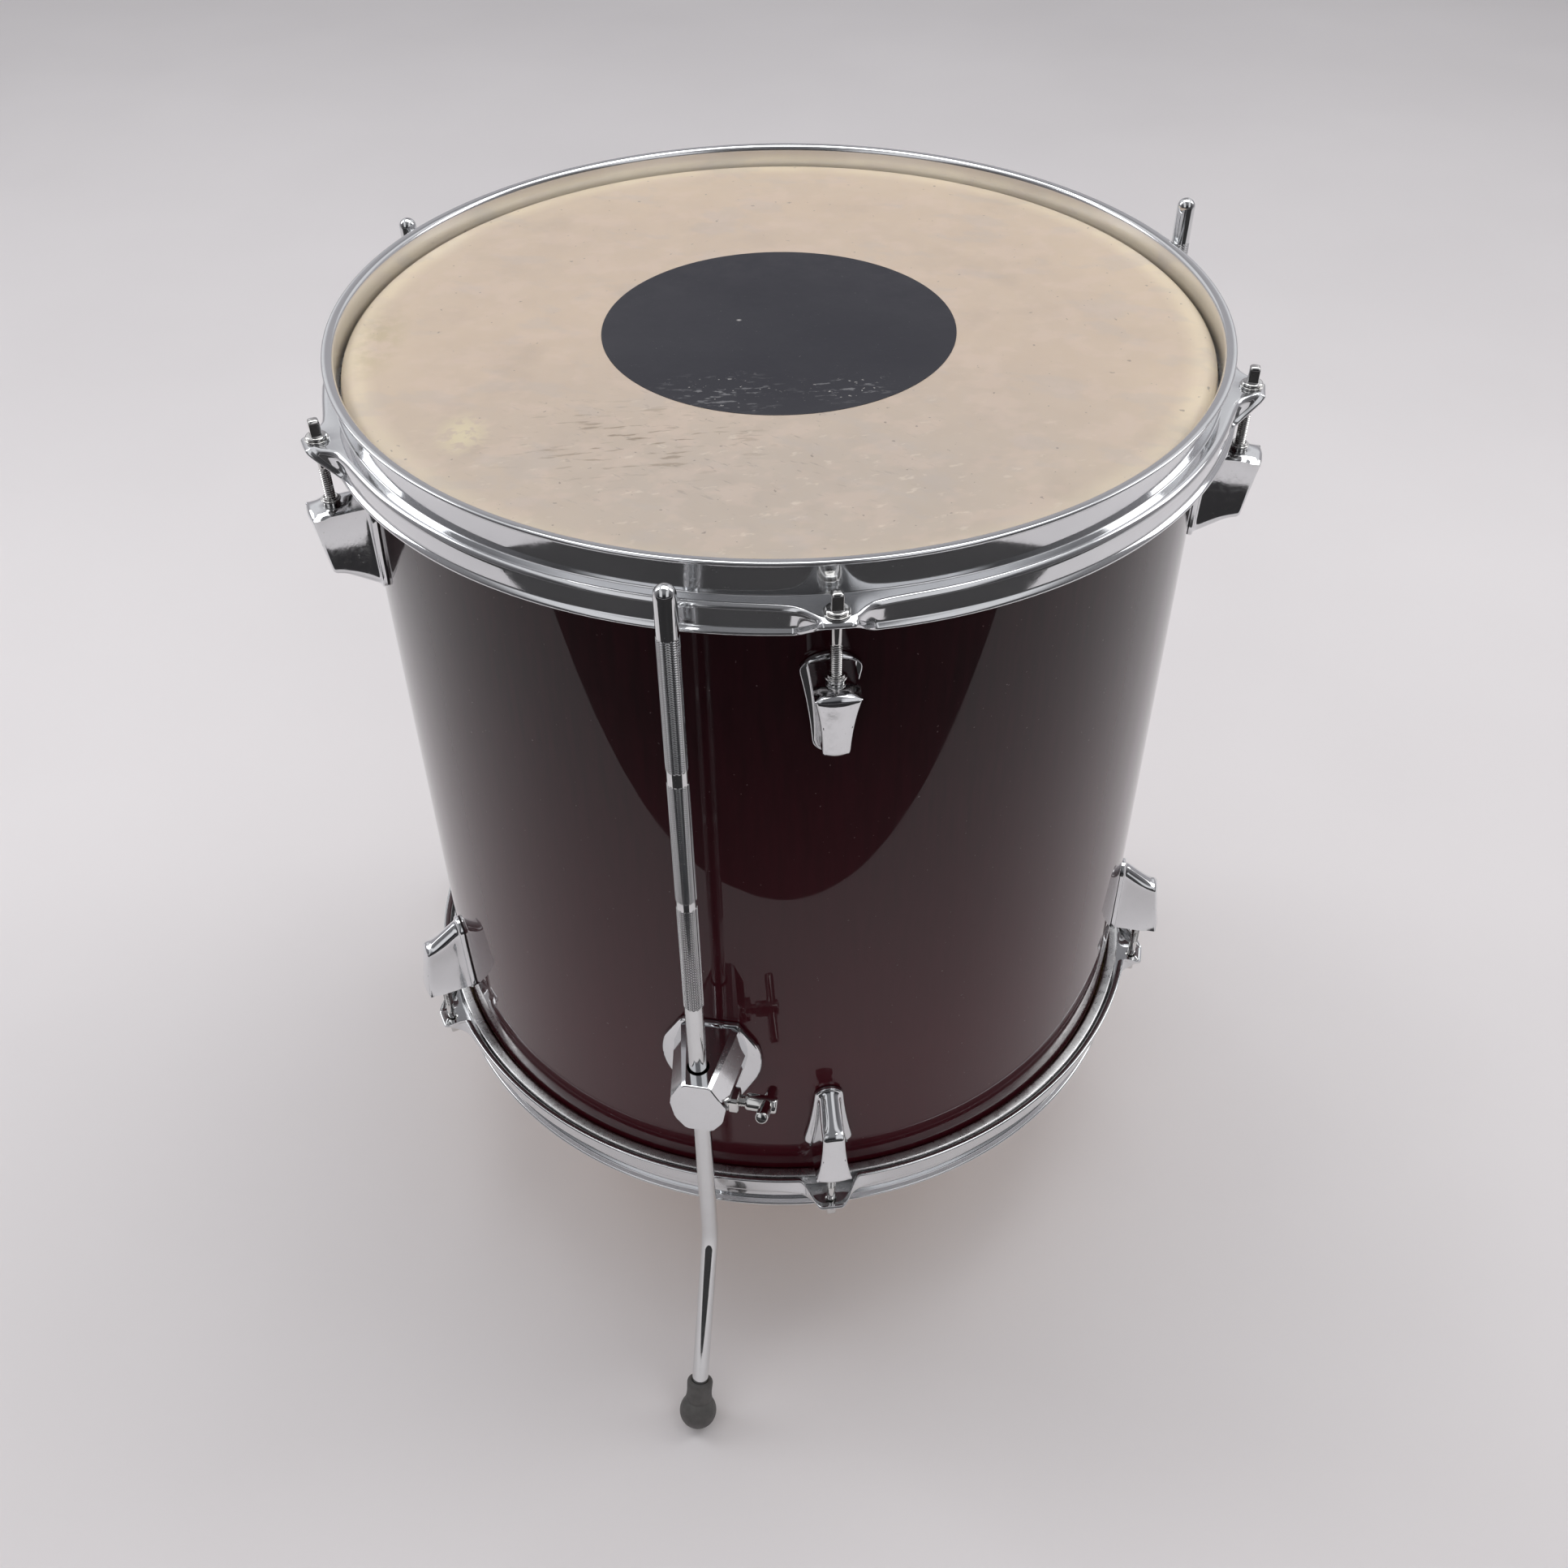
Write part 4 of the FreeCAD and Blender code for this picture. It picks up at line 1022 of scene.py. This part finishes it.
# ---- legs and feet
LEG_BEND = 417.0  # the drop of the corner where the leg splays
LEG_SPLAY = radians(27.0)
BEND_R = 30.0
LEG_LOWER = 117.0  # from that corner to the leg's lower end
FOOT_BELOW = 112.0  # and to the middle of the foot's ball
SMOOTH_R = 4.5
KNURL_APEX = 4.66
KNURL_GROOVE = 4.36
KNURL_COLUMNS = 28
KNURL_ROW = 0.575
KNURL_BANDS = ((22.4, 89.0), (95.5, 164.0), (168.0, 235.0))  # below the tip
OUTWARD = Vector((0, -sin(LEG_SPLAY), -cos(LEG_SPLAY)))


def leg_path():
    """Points down the leg's axis with the direction at each: straight, one bend, straight."""
    corner = at(0, LEG_R, LEG_BEND)
    start = corner + UP * (BEND_R * tan(LEG_SPLAY / 2))
    path = [(start + UP * 60.0, DOWN), (start + UP * 5.0, DOWN)]
    for step in range(17):
        angle = LEG_SPLAY * step / 16
        back, down = cos(angle), -sin(angle)
        path.append((start + Vector((0, back - 1, down)) * BEND_R, Vector((0, down, -back))))
    path.append((corner + OUTWARD * (LEG_LOWER - 0.6), OUTWARD))
    return path


def add_knurl(sheet, top, bottom):
    """Adds one closed sleeve of diamond knurling between two drops."""
    rows = int(round((bottom - top) / KNURL_ROW))
    start = len(sheet.points)
    for i in range(rows + 1):
        centre = at(0, LEG_R, top + (bottom - top) * i / rows)
        for j in range(KNURL_COLUMNS):
            angle = 2 * pi * j / KNURL_COLUMNS
            radius = KNURL_APEX if (i + j) % 2 == 0 else KNURL_GROOVE
            if i in (0, rows):
                radius = SMOOTH_R - 0.05
            sheet.points.append(centre + Vector((cos(angle), sin(angle), 0)) * radius)
    for i in range(rows):
        for j in range(KNURL_COLUMNS):
            a = start + i * KNURL_COLUMNS + j
            b = start + i * KNURL_COLUMNS + (j + 1) % KNURL_COLUMNS
            c, d = b + KNURL_COLUMNS, a + KNURL_COLUMNS
            if (i + j) % 2 == 0:
                sheet.faces += [(a, b, c), (a, c, d)]
            else:
                sheet.faces += [(a, b, d), (b, c, d)]
    sheet.cap(start, KNURL_COLUMNS, True)
    sheet.cap(start + rows * KNURL_COLUMNS, KNURL_COLUMNS)


def make_leg(tip):
    """A chromed rod leg with knurled bands, a domed tip and a splayed lower end."""
    rows = []
    for step in range(10):
        angle = pi / 2 * (step + 0.35) / 9.35
        centre = at(0, LEG_R, tip + SMOOTH_R * (1 - cos(angle)))
        rows.append(level_ring(centre, SMOOTH_R * sin(angle), 48))
    for below in [edge for band in KNURL_BANDS for edge in band]:
        rows.append(level_ring(at(0, LEG_R, tip + below), SMOOTH_R, 48))
    path = [(*place, SMOOTH_R) for place in leg_path()]
    path.append((path[-1][0] + OUTWARD * 0.6, OUTWARD, SMOOTH_R - 0.6))
    for point, direction, radius in path:
        rows.append(circle(point, radius, ACROSS, -direction.cross(ACROSS), 48))
    sheet = Sheet()
    sheet.tube(rows)
    for top, bottom in KNURL_BANDS:
        add_knurl(sheet, tip + top, tip + bottom)
    return sheet


def make_legs():
    """The three legs, whose tips stand at different heights."""
    for i, azimuth in LEG_PLACES:
        tip = HEAD_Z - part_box(f"leg_{i}")[1].z / MM
        piece = make_leg(tip).piece(f"leg_knurled_{i}", LEG_CHROME, turned(azimuth), 14.0)
        finish_piece(piece, f"leg_{i}", [f"leg_{i}"])


def make_feet():
    """Rubber feet: a lipped neck round the rod, a slight waist and a ball worn flat below."""
    middle = at(0, LEG_R, LEG_BEND) + OUTWARD * FOOT_BELOW
    profile = [(5.3, 4.52), (-19.4, 4.52), (-19.9, 4.8), (-20.0, 5.5), (-19.85, 6.3), (-19.3, 6.95),
               (-18.4, 7.2), (-16.5, 7.15), (-13.0, 7.0), (-10.0, 7.15), (-8.4, 7.5)]
    ball_r, neck = 10.3, radians(44.0)
    for step in range(25):
        angle = neck + (pi - neck) * step / 24.6
        profile.append((-ball_r * cos(angle), ball_r * sin(angle)))
    sheet = Sheet()
    lathe(sheet, profile, middle, OUTWARD, 64)
    for point in sheet.points:
        point.z = max(point.z, 0.0)
    for i, azimuth in LEG_PLACES:
        piece = sheet.piece(f"foot_moulded_{i}", RUBBER, turned(azimuth), 50.0)
        finish_piece(piece, f"leg_{i}", [f"foot_{i}"])


# ---- CAD nodes that stay
def dress_nodes():
    """Gives the gaskets, screws and vent grommet their finishes."""
    finishes = {"lug_gaskets": GASKET, "bracket_gaskets": GASKET, "lug_screws": ZINC,
                "bracket_screws": ZINC, "vent_grommet": ZINC}
    for name, material in finishes.items():
        for material_slot in frame["nodes"][name].material_slots:
            material_slot.material = material


make_shell()
make_heads()
make_hoops()
make_rods()
make_lugs()
make_brackets()
make_wing_bolts()
make_legs()
make_feet()
dress_nodes()


# ---- floor, light and camera
def make_card(name, material_name, corners, grain, dark, light):
    """A flat surface that isn't part of the drum, in two tones, with its material's nodes."""
    material, tree, shader = new_material(material_name)
    feed(tree, shader, Base_Color=ramp(tree, noise_of(tree, grain, 3.0), [(0.35, dark), (0.70, light)]))
    mesh = bpy.data.meshes.new(name)
    mesh.from_pydata(corners, [], [tuple(range(len(corners)))])
    mesh.materials.append(material)
    card = new_object(name, mesh)
    return card, tree, shader


def make_floor():
    """A wide pale floor."""
    half = 9.0
    corners = [(-half, -half, 0), (half, -half, 0), (half, half, 0), (-half, half, 0)]
    _, tree, shader = make_card("floor", "pale_floor", corners, 1.4, (0.775, 0.745, 0.75),
                                (0.825, 0.795, 0.80))
    feed(tree, shader, Roughness=ramp(tree, noise_of(tree, 9.0), [(0.3, 0.60), (0.7, 0.75)]))


def make_light(name, place, target, size, power, colour=(1.0, 1.0, 1.0)):
    """A soft rectangular light that faces a point."""
    lamp = bpy.data.lights.new(name, "AREA")
    lamp.shape = "RECTANGLE"
    lamp.size, lamp.size_y = size
    lamp.energy = power
    lamp.color = colour
    obj = new_object(name, lamp)
    obj.location = place
    obj.rotation_euler = (Vector(target) - Vector(place)).to_track_quat("-Z", "Y").to_euler()
    return obj


def make_world():
    """A pale room, dark on the player's side, with a tall soft panel high up on the left and right."""
    world = bpy.data.worlds.new("room")
    world.use_nodes = True
    bpy.context.scene.world = world
    tree = world.node_tree
    direction = add_node(tree, "TexCoord").outputs["Generated"]
    split = add_node(tree, "SeparateXYZ", Vector=direction).outputs
    room = ramp(tree, calc(tree, "MULTIPLY_ADD", split["Y"], 0.5),
                [(0.20, (0.050, 0.050, 0.055)), (0.47, (0.36, 0.35, 0.37)), (0.75, (0.80, 0.78, 0.82))])
    room = mix(tree, ramp(tree, split["Z"], [(0.45, 0.0), (0.80, 1.0)]), room, (0.40, 0.40, 0.42))
    beside = ramp(tree, calc(tree, "ABSOLUTE", split["X"]),
                  [(0.26, 0.0), (0.36, 1.0), (0.62, 1.0), (0.74, 0.0)])
    raised = ramp(tree, split["Z"], [(0.12, 0.0), (0.30, 1.0), (0.85, 1.0), (0.95, 0.0)])
    panels = product(tree, beside, raised)
    feed(tree, tree.nodes["Background"], Color=mix(tree, panels, room, (1.5, 1.5, 1.54)), Strength=0.50)


def make_flag():
    """A dark flag on the floor in front, past the view's edge, that only glossy surfaces see."""
    near, far, half, lift = -0.532, -5.0, 5.0, 0.001
    corners = [(-half, far, lift), (half, far, lift), (half, near, lift), (-0.1, near, lift),
               (-half, near + 0.34, lift)]
    flag, tree, shader = make_card("flag", "flag_black", corners, 2.0, (0.017, 0.016, 0.017),
                                   (0.027, 0.025, 0.026))
    feed(tree, shader, Roughness=0.9)
    flag.visible_camera = False
    flag.visible_diffuse = False
    flag.visible_shadow = False


def make_camera():
    """Stands the camera above the front of the drum, looking down at it."""
    pitch, yaw, roll = radians(42.2927), radians(0.0222), radians(-0.5709)
    turn = (Matrix.Rotation(-yaw, 4, "Z") @ Matrix.Rotation(pi / 2 - pitch, 4, "X")
            @ Matrix.Rotation(roll, 4, "Z"))
    lens = bpy.data.cameras.new("camera")
    lens.lens = 36.0
    lens.sensor_width = 36.0
    lens.clip_start = 0.01
    camera = new_object("camera", lens)
    camera.matrix_world = Matrix.Translation((0.0, -0.69448, HEAD_Z * MM + 0.33936)) @ turn
    bpy.context.scene.camera = camera


bpy.context.scene.view_settings.view_transform = "Standard"
make_floor()
make_flag()
make_world()
make_light("window_left", (-2.2, 0.9, 1.9), (0.0, 0.0, 0.3), (0.9, 1.6), 13.0, (0.97, 0.98, 1.0))
make_light("window_right", (2.2, 0.7, 1.9), (0.0, 0.0, 0.3), (0.8, 1.4), 10.0)
make_light("overhead", (0.1, 0.5, 2.4), (0.0, 0.0, 0.3), (2.0, 1.2), 24.0)
fill = make_light("fill", (0.0, -2.2, 1.3), (0.0, -0.3, 0.1), (1.8, 1.0), 9.0, (1.0, 0.97, 0.95))
fill.visible_glossy = False
make_camera()
